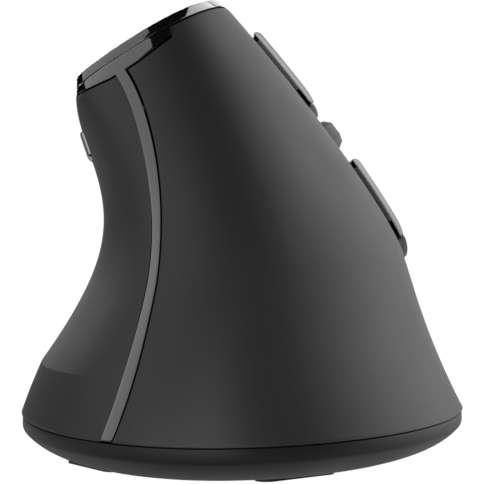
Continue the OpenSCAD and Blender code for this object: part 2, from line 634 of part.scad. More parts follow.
// The post stops short of the plunger by the button's travel there.
button_turn = 1.5;
push_z = -board_depth + switch_h + plunger_h + (push_y - hinge_y) * sin(button_turn) + 0.1;
module index_button() {
  color("#232324") main_button(index_v, index_x);
}
module middle_button() {
  color("#232324") main_button(middle_v, middle_x);
}

// Scroll wheel: a grooved rubber tyre on a spoked hub, whose axle turns in a tilting carriage.
module on_wheel() {
  on_finger() translate([0, wheel_y, wheel_cz]) rotate([0, 90, 0]) children();
}
// Outline of one half of the tyre, from the middle of the tread to its side
flank_w = (wheel_w - tread_w) / 2;
tyre_half = [[wheel_r, tread_w / 2 - groove], [wheel_r - groove, tread_w / 2 - groove / 2],
  [wheel_r, tread_w / 2],
  [wheel_r - 0.3 * flank_h, tread_w / 2 + 0.6 * flank_w], [wheel_r - flank_h, wheel_w / 2]];
function turned(p) = [for (i = [len(p) - 1:-1:0]) [p[i][0], -p[i][1]]];
module wheel_tyre() {
  color("#1a1a1a") on_wheel() rotate_extrude($fn = 96) polygon(concat([[wheel_r - tyre_t, -wheel_w / 2]],
    turned(tyre_half), tyre_half, [[wheel_r - tyre_t, wheel_w / 2]]));
}
hub_r = wheel_r - tyre_t;
axle_half = pivot_x + 0.6;
module wheel_hub() {
  b = wheel_w / 2 + 0.6;
  color("#3c3c3e") on_wheel() difference() {
    rotate_extrude($fn = 64) polygon([[0, -axle_half], [axle_r, -axle_half], [axle_r, -b],
      [axle_r + 1.5, -b],
      [axle_r + 1.5, -1.2], [hub_r - 1.8, -1.2], [hub_r - 1.8, 0.3 - wheel_w / 2],
        [hub_r, 0.3 - wheel_w / 2],
      [hub_r, wheel_w / 2 - 0.3], [hub_r - 1.8, wheel_w / 2 - 0.3], [hub_r - 1.8, 1.2], [axle_r + 1.5, 1.2],
      [axle_r + 1.5, b], [axle_r, b], [axle_r, axle_half], [0, axle_half]]);
    for (k = [0:4]) rotate([0, 0, k * 72]) translate([(hub_r + axle_r) / 2, 0, -wheel_w])
      cylinder(r = 1.4, h = 2 * wheel_w);
  }
}
arm_z = [wheel_cz - 2.2, wheel_cz + 2.2];
bar_top = wheel_cz + 0.8;
// The bar's underside leaves the wheel's click travel above the click switch.
click_turn = 1.8;
click_room = (bar_y + bar_w - pivot_y) * sin(click_turn) + 0.2;
bar_z = click_h + plunger_h + click_room - board_depth;
module wheel_carriage() {
  inner = pivot_x - arm_t;
  y0 = pivot_y - 2;
  y1 = bar_y + bar_w;
  color("#2e2e30") on_finger() difference() {
    union() {
      for (s = [-1, 1]) translate([s > 0 ? inner : -pivot_x, y0, arm_z[0]])
        cube([arm_t, y1 - y0, arm_z[1] - arm_z[0]]);
      translate([-pivot_x, y0, arm_z[0]]) cube([2 * pivot_x, 3.6, arm_z[1] - arm_z[0]]);
      translate([-pivot_x, bar_y, bar_z]) cube([2 * pivot_x, bar_w, bar_top - bar_z]);
      translate([-pivot_x - post_gap - 2.2, pivot_y, wheel_cz]) rotate([0, 90, 0])
        cylinder(r = pivot_r, h = 2 * (pivot_x + post_gap + 2.2));
    }
    translate([-pivot_x - 1, wheel_y, wheel_cz]) rotate([0, 90, 0])
      cylinder(r = axle_r + run_gap, h = 2 * pivot_x + 2);
    translate([-pivot_x - 1, bar_y - 4, bar_top]) cube([2 * pivot_x + 2, bar_w + 5, 2]);
  }
}

// Switches beside the wheel
module micro_switches() {
  color("#29292b") on_finger() for (x = [index_x, middle_x]) {
    translate([x - switch_w / 2, switch_y - switch_l / 2, -board_depth])
      cube([switch_w, switch_l, switch_h]);
    translate([x, push_y, -board_depth + switch_h]) cylinder(r = 1, h = plunger_h);
  }
}
module wheel_encoder() {
  color("#3a3a3d") on_finger() translate([axle_half + 0.4, wheel_y - 4, -board_depth]) difference() {
    cube([2.4, 8, board_depth + wheel_cz + 3]);
    translate([-1, 4, board_depth + wheel_cz]) rotate([0, 90, 0]) cylinder(r = 1.6, h = 2);
  }
}
module click_switch() {
  color("#39393b") on_finger() translate([0, bar_y + bar_w / 2, -board_depth]) tact(click_h);
}
module switch_board() {
  y0 = hinge_y + 3.5;
  x0 = plate_x[0] + frame_t;
  color("#1f5a3c") on_finger() difference() {
    translate([x0, y0, -board_depth - board_t]) cube([plate_x[1] - x0, plate_y[1] - y0, board_t]);
    translate([-slot_half - 2.6, y0 - 1, -board_depth - board_t - 1])
      cube([2 * slot_half + 5.2, bar_y - 1 - y0 + 1, board_t + 2]);
  }
}

// Inner frame: the plate under the switch board, the bearings of the buttons and of the carriage, two
// webs that stand on the base, and the brackets of the thumb and top boards.
module bearing(x, y, w, z, r) {
  translate([x, y - 2.4, plate_z - 0.5]) difference() {
    cube([w, 4.8, z - plate_z + 0.5 + r + 1]);
    translate([-1, 2.4, z - plate_z + 0.5]) rotate([0, 90, 0]) cylinder(r = r + run_gap, h = w + 2);
  }
}
module web(y) {
  e = side_board_z - board_t - frame_t / 2;
  translate([0, y, 0]) rotate([90, 0, 0]) linear_extrude(frame_t) difference() {
    polygon([ff(plate_x[0], plate_z - 1), ff(plate_x[1], plate_z - 1), [foot_x[1], floor_z],
      [foot_x[0], floor_z],
      tf(-4, e), tf(4, e)]);
    translate((ff(plate_x[0], plate_z) + ff(plate_x[1], plate_z) + tf(0, e) + [foot_x[0], floor_z]) / 4)
      circle(r = 6.5);
  }
}
module inner_frame() {
  color("#454548") difference() {
    union() {
      on_finger() {
        translate([plate_x[0], plate_y[0], plate_z - frame_t])
          cube([plate_x[1] - plate_x[0], plate_y[1] - plate_y[0], frame_t]);
        for (x = [index_x, middle_x]) {
          bearing(x - lug_w / 2 - post_gap - post_w, hinge_y, post_w, -hinge_depth, hinge_r);
          bearing(x + lug_w / 2 + post_gap, hinge_y, post_w, -hinge_depth, hinge_r);
        }
        bearing(-pivot_x - post_gap - 2.2, pivot_y, 2.2, wheel_cz, pivot_r);
        bearing(pivot_x + post_gap, pivot_y, 2.2, wheel_cz, pivot_r);
      }
      web(web_y[0] + frame_t);
      web(web_y[1]);
      on_thumb() translate([-4.5, side_y0 + 2, side_board_z - board_t - frame_t])
        cube([9, side_y1 - side_y0 - 2, frame_t]);
      on_cap() translate([-4.5, dpi_y - 5, dpi_board_z - 3]) cube([9.5, 10, 3]);
      for (k = [0, 1]) translate([screw_at[k][0] - 4, screw_at[k][1] - 3.2, floor_z])
        cube([8, 6.4, foot_block_h]);
    }
    on_wheel() cylinder(r = wheel_r + 1.6, h = 2 * slot_half + 5.2, center = true);
    for (k = [0, 1]) translate([screw_at[k][0], screw_at[k][1], floor_z - 1])
      cylinder(r = screw_r, h = screw_bite + 1.4);
  }
}

// Thumb buttons: two raised pads in one opening, each with a stem over its switch.
function side_grid(vs, ys, rise) = [for (j = [0:len(vs) - 1]) [for (i = [0:len(ys) - 1])
  let (edge = j == 0 || i == 0 || j == len(vs) - 1 || i == len(ys) - 1)
  off(a_thumb(ys[i], vs[j]), vs[j], rise - (edge && rise > 0 ? 0.4 : 0))]];
module side_button(y0, y1) {
  g = button_gap / (cap_left_z - seam_z);
  vs = spread([side_v0 + g, side_v0 + 2 * g, side_v1 - 2 * g, side_v1 - g], [1, 2, 1]);
  ys = spread([y1, y1 - button_edge, y0 + button_edge, y0], [1, 5, 1]);
  sheet(side_grid(vs, ys, side_proud), side_grid(vs, ys, -side_skirt), function (j, i) true);
  on_thumb() translate([0, (y0 + y1) / 2, -side_skirt - stem_l]) cylinder(r = 1.3, h = stem_l + 1);
}
module forward_button() {
  color("#232324") side_button(side_ym + button_gap / 2, side_y1);
}
module back_button() {
  color("#232324") side_button(side_y0, side_ym - button_gap / 2);
}
module side_board() {
  color("#1f5a3c") on_thumb() translate([-4, side_y0 + 2, side_board_z - board_t])
    cube([8, side_y1 - side_y0 - 2, board_t]);
}
module side_switches() {
  color("#39393b") on_thumb() for (y = side_at) translate([0, y, side_board_z]) tact(tact_h);
}

// Base pan: a flat underside with a land for each foot, an elliptic round up to a crease and a plain rim
// wall with the half lap's rebate.
pan_angles = [for (i = [0:63]) -180 + (i + 0.5) * 360 / 64];
function pan_ring(s, z) = [for (a = pan_angles) let (p = skin(a, 0)) [p[0] * s, p[1] * s, z]];
function rim_ring(d, z) = [for (a = pan_angles) rim(a, d, z)];
module base_pan() {
  turns = [for (k = [0:6]) k / 6];
  crease = 1 - 2 * base_step / base_w;
  color("#1f1f20") difference() {
    union() {
      ring_stack(concat(
        [for (t = turns) pan_ring(mix(flat_share, crease, sin(round_a * t) / sin(round_a)),
          mix(pan_z, crease_z, (1 - cos(round_a * t)) / (1 - cos(round_a))))],
        [rim_ring(-base_step, seam_z - seam_gap / 2), rim_ring(-lap, seam_z - seam_gap / 2),
          rim_ring(-lap, tongue_z - seam_gap),
          rim_ring(-base_wall, tongue_z - seam_gap), pan_ring(0.88, floor_z + 1),
            pan_ring(0.82, floor_z)]));
      for (p = boss_at) translate([p[0], p[1], floor_z - 0.5])
        cylinder(r = boss_r, h = main_z - floor_z + 0.5);
      for (f = feet) translate([0, 0, pan_z]) linear_extrude(1.2) pad(f, 0.8);
    }
    translate([bay_x - door_w / 2 - door_gap, door_y0 - door_gap, 0])
      cube([door_w + 2 * door_gap, door_y1 - door_y0 + 2 * door_gap, floor_z + 1]);
    translate([bay_x - door_w / 2 - 1.6, door_y1 - door_r, door_z]) rotate([0, 90, 0])
      cylinder(r = door_pin_r + run_gap, h = door_w + 3.2);
    for (p = screw_at) translate([p[0], p[1], pan_z - 1]) {
      cylinder(r = screw_r + 0.2, h = floor_t + 2);
      cylinder(r = screw_head + 0.2, h = 2.1);
    }
    for (p = boss_at) translate([p[0], p[1], floor_z]) cylinder(r = 0.8, h = main_z);
    translate([sensor_x, sensor_y, 0]) cylinder(r1 = 5, r2 = 3.6, h = floor_z + 0.1);
    translate([power_x - power_knob[0] / 2 - 0.4, power_y - power_knob[1] / 2 - 0.4, 0])
      cube([power_knob[0] + 0.8, power_knob[1] + power_travel + 0.8, floor_z + 1]);
  }
}

// Battery door: a plate with a round hinge edge, two pins and a finger notch at its free end.
module battery_door() {
  x0 = bay_x - door_w / 2;
  color("#1c1c1d") difference() {
    union() {
      translate([x0, door_y0, pan_z]) cube([door_w, door_y1 - door_r - door_y0, 2 * door_r]);
      translate([x0, door_y1 - door_r, door_z]) rotate([0, 90, 0]) cylinder(r = door_r, h = door_w);
      translate([x0 - 1.4, door_y1 - door_r, door_z]) rotate([0, 90, 0])
        cylinder(r = door_pin_r, h = door_w + 2.8);
    }
    translate([bay_x, door_y0, pan_z - 1]) cylinder(r = 4, h = 1.6);
    for (k = [0:4]) translate([bay_x - 4, door_y0 + 7 + 1.6 * k, pan_z - 0.1]) cube([8, 0.7, 0.4]);
  }
}

// Battery bay: a box open to the door, with an ear for a screw on each side.
module battery_bay() {
  o = [bay_in[0] + 2 * bay_wall, bay_in[1] + 2 * bay_wall];
  color("#2a2a2b") difference() {
    union() {
      translate([bay_x - o[0] / 2, bay_y0 - bay_wall, floor_z])
        cube([o[0], o[1], bay_top + bay_wall - floor_z]);
      translate([ear_x[0], ear_y - 3, floor_z]) cube([ear_x[1] - ear_x[0], 6, ear_h]);
      for (x = ear_x) translate([x, ear_y, floor_z]) cylinder(r = 3, h = ear_h);
    }
    translate([bay_x - bay_in[0] / 2, bay_y0, floor_z - 1])
      cube([bay_in[0], bay_in[1], bay_top - floor_z + 1]);
    for (x = ear_x) translate([x, ear_y, floor_z - 1]) cylinder(r = screw_r, h = screw_bite + 1.4);
  }
}
module battery_cells() {
  nub = 1;
  color("#5a6a4a") for (s = [-1, 1])
    translate([bay_x + s * (cell_r + 0.15), bay_y0 + contact_room + cell_l / 2, cell_z])
    rotate([s * 90, 0, 0]) {
      translate([0, 0, -cell_l / 2]) cylinder(r = cell_r, h = cell_l - nub);
      translate([0, 0, cell_l / 2 - nub]) cylinder(r = 1.9, h = nub);
    }
}
module battery_contacts() {
  color("silver") for (s = [-1, 1], y = [bay_y0, bay_y1 - contact_t])
    translate([bay_x + s * (cell_r + 0.15) - 4, y, cell_z - 4]) cube([8, contact_t, 8]);
}

// Main board with the pointing sensor above its opening and the lens below it
module main_board() {
  color("#1f5a3c") difference() {
    translate([main_x[0], main_y[0], main_z]) cube([main_x[1] - main_x[0], main_y[1] - main_y[0], board_t]);
    for (p = boss_at) translate([p[0], p[1], main_z - 1]) cylinder(r = 1.1, h = board_t + 2);
    translate([sensor_x, sensor_y, main_z - 1]) cylinder(r = 2.6, h = board_t + 2);
  }
}
module sensor_chip() {
  color("#151516") translate([sensor_x - 5, sensor_y - 6, main_z + board_t]) difference() {
    cube([10, 12, 3.2]);
    translate([5, 6, -1]) cylinder(r = 1.2, h = 2);
  }
}
module sensor_lens() {
  color("#c8d0d4", 0.6) translate([sensor_x, sensor_y, 0]) {
    translate([-8, -6, floor_z]) cube([16, 12, 2]);
    translate([0, 0, floor_z + 2]) cylinder(r = 4, h = main_z - floor_z - 2);
    translate([0, 0, pan_z + 0.7]) cylinder(r = 2.6, h = floor_t - 0.7);
  }
}

// Power switch: a housing under the main board and a slider whose knob stands in a slot of the base.
slider_z = floor_z + 0.2;
slider_t = 0.8;
module power_housing() {
  z = slider_z + slider_t + 0.3;
  color("#49494c") translate([power_x - 3, power_y - 5, z]) cube([6, 10 + power_travel, main_z - z]);
}
module power_slider() {
  color("#8a8a8c") {
    translate([power_x - power_knob[0] / 2, power_y - power_knob[1] / 2, pan_z + 0.2])
      cube([power_knob[0], power_knob[1], slider_z - pan_z]);
    translate([power_x - power_knob[0] / 2 - 2, power_y - power_knob[1] / 2 - 2 - power_travel, slider_z])
      cube([power_knob[0] + 4, power_knob[1] + 4 + 2 * power_travel, slider_t]);
  }
}

// Glide feet: four rounded pads, each at an angle of the rim, a share of the way out to it and turned
// from its line
feet = [[-52.1, 0.7467, 11.2], [23.2, 0.69, 4.8], [-138.1, 0.691, 0.6], [131.6, 0.6842, 3.5]];
module pad(f, grow) {
  p = skin(f[0], 0) * f[1];
  t = skin(f[0] + 1, 0) - skin(f[0] - 1, 0);
  translate([p[0], p[1]]) rotate(atan2(t[1], t[0]) - 90 + f[2]) stadium(foot_l + grow, foot_w + grow);
}
module glide_feet() {
  color("#101011") for (f = feet) linear_extrude(foot_t) pad(f, 0);
}

// Screws from below into the frame and the bay, and from above into the base's bosses
module case_screws() {
  color("#6a6a6e") for (p = screw_at) translate([p[0], p[1], pan_z + 0.1]) difference() {
    union() {
      cylinder(r = screw_head, h = 0.9);
      cylinder(r = screw_r, h = floor_t - 0.1 + screw_bite);
    }
    translate([-0.3, -1.4, -0.1]) cube([0.6, 2.8, 0.5]);
    translate([-1.4, -0.3, -0.1]) cube([2.8, 0.6, 0.5]);
  }
}
module board_screws() {
  color("#6a6a6e") for (p = boss_at) translate([p[0], p[1], main_z + board_t]) {
    cylinder(r = 1.8, h = 1.1);
    translate([0, 0, -board_t - 3]) cylinder(r = 0.8, h = board_t + 3);
  }
}

base_pan();
battery_door();
battery_bay();
battery_cells();
battery_contacts();
main_board();
sensor_chip();
sensor_lens();
power_housing();
power_slider();
palm_shell();
thumb_shell();
spine_trim();
top_cap();
inner_frame();
switch_board();
micro_switches();
wheel_encoder();
click_switch();
wheel_carriage();
wheel_hub();
wheel_tyre();
index_button();
middle_button();
side_board();
side_switches();
forward_button();
back_button();
dpi_board();
dpi_switch();
dpi_button();
glide_feet();
case_screws();
board_screws();
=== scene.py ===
import math
from functools import lru_cache

import bmesh
import bpy
from mathutils import Matrix, Vector


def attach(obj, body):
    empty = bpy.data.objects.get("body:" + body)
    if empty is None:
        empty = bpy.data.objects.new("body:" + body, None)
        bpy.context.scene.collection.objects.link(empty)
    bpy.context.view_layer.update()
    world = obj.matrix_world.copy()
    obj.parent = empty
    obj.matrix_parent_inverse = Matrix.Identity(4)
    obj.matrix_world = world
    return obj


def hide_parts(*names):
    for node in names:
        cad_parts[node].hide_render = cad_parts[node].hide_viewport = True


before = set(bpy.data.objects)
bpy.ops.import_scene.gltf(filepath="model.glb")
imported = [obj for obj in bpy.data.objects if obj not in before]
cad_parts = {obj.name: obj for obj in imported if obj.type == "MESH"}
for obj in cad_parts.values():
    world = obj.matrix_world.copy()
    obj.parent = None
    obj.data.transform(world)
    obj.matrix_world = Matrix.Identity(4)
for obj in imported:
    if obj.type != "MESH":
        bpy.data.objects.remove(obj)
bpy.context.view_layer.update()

mm = 0.001


def mix(a, b, t):
    return a + (b - a) * t


def ease(t):
    t = min(1.0, max(0.0, t))
    return t * t * (3 - 2 * t)


def bezier(points, t):
    points = list(points)
    while len(points) > 1:
        points = [mix(p, q, t) for p, q in zip(points, points[1:])]
    return points[0]


def spread(stops, counts):
    values = [stops[0]]
    for k, n in enumerate(counts):
        values += [mix(stops[k], stops[k + 1], (i + 1) / n) for i in range(n)]
    return values


# The housing's skin, in mm. Level v runs from the base seam (0) to the cap seam (1), and the angle a
# from the rearmost line (0) past the fingers (90) to the front (180), or past the thumb (-90).
housing = {
    "seamZ": 6.8, "capLeftZ": 59.5, "capRightZ": 75.7, "wall": 2.0, "wideY": 11.0,
    "thumbX": (-38.1, -34.8, -26.0, -15.0, -29.7, -28.1),
    "flareX": (38.1, 30.6, 27.7), "knuckleZ": 36.0, "knuckleSoft": 1.5,
    "fingerX": 27.2, "fingerSlope": 0.62, "fingerBow": 5.2,
    "backY": (-58.0, -52.5, -35.5, -21.0), "frontY": (58.0, 58.0, 57.0, 50.0), "heel": (0.44, 0.40),
    "palmSquare": (1.85, 2.2), "thumbSquare": (2.05, 3.2), "frontSquare": (3.0, 2.4),
    "cornerSquare": 1.0, "cornerPower": 16,
    "ledgeV": 0.16, "ledgeHigh": 0.5, "ledgeReach": 0.145, "ledgeFade": (20, 25), "ledgeEnd": (120, 40),
}


def fingerFace(z):
    d = z - housing["knuckleZ"]
    t = d / (housing["capRightZ"] - housing["knuckleZ"])
    return housing["fingerX"] - housing["fingerSlope"] * d - housing["fingerBow"] * t * abs(t)


def levelOf(z):
    return (z - housing["seamZ"]) / (housing["capRightZ"] - housing["seamZ"])


@lru_cache(maxsize=None)
def rails(v):
    h = housing
    left = Vector((bezier(h["thumbX"], v), 0, mix(h["seamZ"], h["capLeftZ"], v)))
    z = mix(h["seamZ"], h["capRightZ"], v)
    t = (z - h["seamZ"]) / (h["knuckleZ"] - h["seamZ"])
    low = h["flareX"]
    flare = bezier(low, t) if t < 1 else low[2] + 2 * (low[2] - low[1]) * (t - 1)
    face = fingerFace(z)
    right = Vector(((flare + face - math.hypot(flare - face, h["knuckleSoft"])) / 2, 0, z))
    return left, right, bezier(h["backY"], v), bezier(h["frontY"], v), mix(*h["heel"], v)


# The back quarters grow squarer towards the cap, most of all at the cap's thumb corner.
def squareness(back, a, v):
    if not back:
        return housing["frontSquare"][a < 0]
    v = max(0, v)
    corner = housing["cornerSquare"] * v ** housing["cornerPower"] * ease((-a - 15) / 30)
    return mix(*housing["thumbSquare" if a < 0 else "palmSquare"], v ** 3) + corner


def skin(a, v):
    left, right, back, front, heel = rails(v)
    s, c = math.sin(math.radians(a)), math.cos(math.radians(a))
    power = 2 / squareness(c > 0, a, v)
    across = heel + (heel if a < 0 else 1 - heel) * math.copysign(abs(s) ** power, s)
    along = ((back if c > 0 else front) - housing["wideY"]) * abs(c) ** power
    crease = max(0, 1 - abs(v - housing["ledgeV"]) / housing["ledgeReach"]) ** 2
    (start, grow), (end, fall) = housing["ledgeFade"], housing["ledgeEnd"]
    crease *= housing["ledgeHigh"] * ease((-a - start) / grow) * (1 - ease((-a - end) / fall))
    return left.lerp(right, across) + Vector((-crease, housing["wideY"] + along, 0))


@lru_cache(maxsize=None)
def sliceUp(v):
    left, right = rails(v)[:2]
    return Vector((left.z - right.z, 0, right.x - left.x)).normalized()


def outward(a, v):
    turn = skin(a + 1, v) - skin(a - 1, v)
    rise = skin(a, min(1, v + 0.01)) - skin(a, max(0, v - 0.01))
    n = turn.cross(rise).normalized()
    up = sliceUp(v)
    flat = n - up * n.dot(up)
    k = min(1, max(0, min(v, 1 - v) / 0.05))
    return n * k + flat / flat.length_squared * (1 - k)


def onSkin(a, v, rise=0.0):
    return skin(a, v) + outward(a, v) * rise if rise else skin(a, v)


def perDegree(a, v):
    return (skin(a + 1, v) - skin(a - 1, v)).length / 2


def angleAt(y, v, side):
    back, front = rails(v)[2:4]
    wide = housing["wideY"]
    share = (wide - y) / (wide - back) if y < wide else (y - wide) / (front - wide)
    turn = 60.0
    for k in range(6):
        power = squareness(y < wide, side * turn, v) / 2
        turn = math.degrees(math.acos(min(1, max(0, share)) ** power))
    return side * (turn if y < wide else 180 - turn)


def rimPoint(a, d, z):
    p, t = skin(a, 0), skin(a + 1, 0) - skin(a - 1, 0)
    n = Vector((t.y, -t.x, 0)).normalized()
    return Vector((p.x + n.x * d, p.y + n.y * d, z))


# A flat grid is laid on the skin, its openings are taken out and it is drawn inwards to its wall.
# Each row holds its column values, its outer place and its inner place.
def layGrid(rows, keep=None):
    cols, last = len(rows[0][0]) - 1, len(rows) - 1
    bm = bmesh.new()
    row, col = bm.verts.layers.int.new("row"), bm.verts.layers.int.new("col")
    bmesh.ops.create_grid(bm, x_segments=cols, y_segments=last, size=0.5)
    for vert in bm.verts:
        vert[row], vert[col] = round((vert.co.y + 0.5) * last), round((vert.co.x + 0.5) * cols)
    if keep:
        gone = [f for f in bm.faces
                if not keep(min(p[row] for p in f.verts), min(p[col] for p in f.verts))]
        bmesh.ops.delete(bm, geom=gone, context="FACES")
    for vert in bm.verts:
        values, outer, inner = rows[vert[row]]
        vert.co = outer(values[vert[col]])
    everything = bm.verts[:] + bm.edges[:] + bm.faces[:]
    drawn = bmesh.ops.extrude_face_region(bm, geom=everything, use_keep_orig=True)["geom"]
    for vert in drawn:
        if isinstance(vert, bmesh.types.BMVert):
            values, outer, inner = rows[vert[row]]
            vert.co = inner(values[vert[col]])
    bm.verts.layers.int.remove(bm.verts.layers.int["row"])
    bm.verts.layers.int.remove(bm.verts.layers.int["col"])
    bmesh.ops.recalc_face_normals(bm, faces=bm.faces)
    return bm


# A grid rolled into a tube through a stack of rings; a closed one also joins its last ring to its first.
def rollGrid(rings, closed=False, bm=None):
    bm = bm or bmesh.new()
    n, levels = len(rings[0]), len(rings) + (1 if closed else 0)
    made = bmesh.ops.create_grid(bm, x_segments=n, y_segments=levels - 1, size=0.5)["verts"]
    for vert in made:
        j, i = round((vert.co.y + 0.5) * (levels - 1)), round((vert.co.x + 0.5) * n)
        vert.co = rings[j % len(rings)][i % n]
    bmesh.ops.remove_doubles(bm, verts=made, dist=0.001)
    return bm


def softenEdges(bm, size, segments=2, angle=40, where=None, clamp=True):
    limit = math.radians(angle)
    sharp = [e for e in bm.edges if e.calc_face_angle(0) > limit and (where is None or where(e))]
    bmesh.ops.bevel(bm, geom=sharp, offset=size, offset_type="OFFSET", affect="EDGES",
                    segments=segments, profile=0.5, material=-1, clamp_overlap=clamp)


def addBlock(bm, place, low, high):
    low, high = Vector(low), Vector(high)
    size = Matrix.Diagonal((high - low).to_4d())
    size[3][3] = 1
    return bmesh.ops.create_cube(bm, size=1, matrix=place @ Matrix.Translation((low + high) / 2) @ size)


def addRod(bm, place, start, axis, radius, length, segments=32):
    turn = Vector((0, 0, 1)).rotation_difference(Vector(axis)).to_matrix().to_4x4()
    middle = Vector(start) + Vector(axis) * length / 2
    return bmesh.ops.create_cone(bm, cap_ends=True, segments=segments, radius1=radius, radius2=radius,
                                 depth=length, matrix=place @ Matrix.Translation(middle) @ turn)


def joinInto(bm, other):
    spare = bpy.data.meshes.new("spare")
    other.to_mesh(spare)
    other.free()
    bm.from_mesh(spare)
    bpy.data.meshes.remove(spare)


def settle(bm, name, body, finish, nodes, smooth=35):
    bmesh.ops.transform(bm, matrix=Matrix.Scale(mm, 4), verts=bm.verts)
    mesh = bpy.data.meshes.new(name)
    bm.edges.index_update()
    creased = [e.index for e in bm.edges if not e.smooth]
    bm.to_mesh(mesh)
    bm.free()
    mesh.polygons.foreach_set("use_smooth", [True] * len(mesh.polygons))
    mesh.set_sharp_from_angle(angle=math.radians(smooth))
    for k in creased:
        mesh.edges[k].use_edge_sharp = True
    mesh.materials.append(finish)
    piece = bpy.data.objects.new(name, mesh)
    bpy.context.scene.collection.objects.link(piece)
    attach(piece, body)
    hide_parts(*nodes)
    print("piece", name, len(mesh.polygons), "faces")
    return piece


# Colours are sRGB hex values.
def linear(hexColour):
    parts = [int(hexColour[i:i + 2], 16) / 255 for i in (1, 3, 5)]
    return [p / 12.92 if p <= 0.04045 else ((p + 0.055) / 1.055) ** 2.4 for p in parts] + [1.0]


def perMetre(sizeMm):
    return 1000 / sizeMm


def addNode(tree, kind, settings=None, links=None):
    node = tree.nodes.new(kind)
    for key, value in (settings or {}).items():
        if isinstance(key, str) and hasattr(node, key):
            setattr(node, key, value)
        else:
            node.inputs[key].default_value = value
    for key, source in (links or {}).items():
        tree.links.new(source, node.inputs[key])
    return node


def newFinish(name):
    finish = bpy.data.materials.new(name)
    finish.use_nodes = True
    finish.node_tree.nodes.clear()
    return finish, finish.node_tree


# Plain moulded plastics and coatings: a fine grain moves colour and roughness a little and lifts the skin.
def moulded(name, look):
    finish, tree = newFinish(name)
    place = addNode(tree, "ShaderNodeTexCoord").outputs["Object"]
    grain = addNode(tree, "ShaderNodeTexNoise", {"Scale": perMetre(look["grainMm"]), "Detail": 3.0},
                    {"Vector": place}).outputs["Fac"]
    cloud = addNode(tree, "ShaderNodeTexNoise", {"Scale": perMetre(look.get("cloudMm", 14)), "Detail": 2.0},
                    {"Vector": place}).outputs["Fac"]
    tones = {"data_type": "RGBA", 6: linear(look["dark"]), 7: linear(look["light"])}
    colour = addNode(tree, "ShaderNodeMix", tones, {0: grain}).outputs[2]
    dull = {"From Min": 0.3, "From Max": 0.7, "To Min": look["rough"][0], "To Max": look["rough"][1]}
    rough = addNode(tree, "ShaderNodeMapRange", dull, {"Value": cloud}).outputs["Result"]
    lift = {"Strength": look["bump"], "Distance": look["grainMm"] * mm * 0.3}
    bump = addNode(tree, "ShaderNodeBump", lift, {"Height": grain}).outputs["Normal"]
    shader = addNode(tree, "ShaderNodeBsdfPrincipled", {"IOR": look.get("ior", 1.5)},
                     {"Base Color": colour, "Roughness": rough, "Normal": bump})
    for key in ("Metallic", "Specular IOR Level", "Coat Weight", "Coat Roughness", "Sheen Weight",
                "Sheen Roughness", "Transmission Weight"):
        if key in look:
            shader.inputs[key].default_value = look[key]
    addNode(tree, "ShaderNodeOutputMaterial", None, {"Surface": shader.outputs["BSDF"]})
    return finish


# soft-touch paint on ABS: a rubbery film, deep grey, with a broad dull highlight
softTouch = moulded("softTouchPaint", {"dark": "#181716", "light": "#1d1c1b", "rough": (0.5, 0.54),
                                       "grainMm": 0.25, "bump": 0.12, "Specular IOR Level": 0.38})
# lacquered ABS from a polished mould: black, with mirror-like highlights
glossBlack = moulded("polishedAbs", {"dark": "#0b0b0c", "light": "#0e0e0f", "rough": (0.06, 0.09),
                                     "grainMm": 0.8, "bump": 0.01, "ior": 1.75, "Coat Weight": 1.0,
                                     "Coat Roughness": 0.04})
# ABS with a fine spark-eroded texture: satin black
sparkBlack = moulded("sparkTexturedAbs", {"dark": "#121110", "light": "#161514", "rough": (0.42, 0.48),
                                          "grainMm": 0.3, "bump": 0.1, "Specular IOR Level": 0.18})
# ABS keys with a satin film: a little smoother than the shells
satinKey = moulded("satinKeyAbs", {"dark": "#1e1e1f", "light": "#242425", "rough": (0.22, 0.28),
                                   "grainMm": 0.25, "bump": 0.01, "ior": 1.6, "Specular IOR Level": 0.95})
# moulded silicone rubber: dull grey-black
wheelRubber = moulded("siliconeRubber", {"dark": "#393939", "light": "#414141", "rough": (0.5, 0.56),
                                         "grainMm": 0.2, "bump": 0.12, "ior": 1.5})
# glass-filled nylon: grey, faintly mottled
nylonGrey = moulded("glassFilledNylon", {"dark": "#38383b", "light": "#45454a", "rough": (0.45, 0.6),
                                         "grainMm": 0.5, "bump": 0.15})
# acetal: slick dark grey
acetalDark = moulded("acetal", {"dark": "#333335", "light": "#3a3a3c", "rough": (0.28, 0.36),
                                "grainMm": 0.6, "bump": 0.04})
# epoxy moulding compound on chips and switches: dull black
epoxyBlack = moulded("mouldedEpoxy", {"dark": "#171718", "light": "#202022", "rough": (0.5, 0.62),
                                      "grainMm": 0.15, "bump": 0.1})
# PTFE with graphite: slippery black
slickFoot = moulded("graphitePtfe", {"dark": "#0d0d0e", "light": "#131314", "rough": (0.34, 0.42),
                                     "grainMm": 0.4, "bump": 0.05, "ior": 1.38})
# printed film round a dry cell: satin olive
cellFilm = moulded("cellFilm", {"dark": "#4d5a3c", "light": "#59684a", "rough": (0.3, 0.4),
                                "grainMm": 1.2, "bump": 0.03})
# nickel plate on spring steel: bright, drawn lightly
nickelPlate = moulded("nickelPlate", {"dark": "#a9a7a0", "light": "#b8b6ae", "rough": (0.24, 0.34),
                                      "grainMm": 0.3, "bump": 0.05, "Metallic": 1.0})
# zinc on steel screws
zincSteel = moulded("zincSteel", {"dark": "#77777a", "light": "#8a8a8e", "rough": (0.3, 0.42),
                                  "grainMm": 0.25, "bump": 0.1, "Metallic": 1.0})
# clear acrylic: the lens
clearAcrylic = moulded("clearAcrylic", {"dark": "#e9eef0", "light": "#f3f6f7", "rough": (0.03, 0.06),
                                        "grainMm": 2.0, "bump": 0.0, "ior": 1.49,
                                        "Transmission Weight": 0.9})
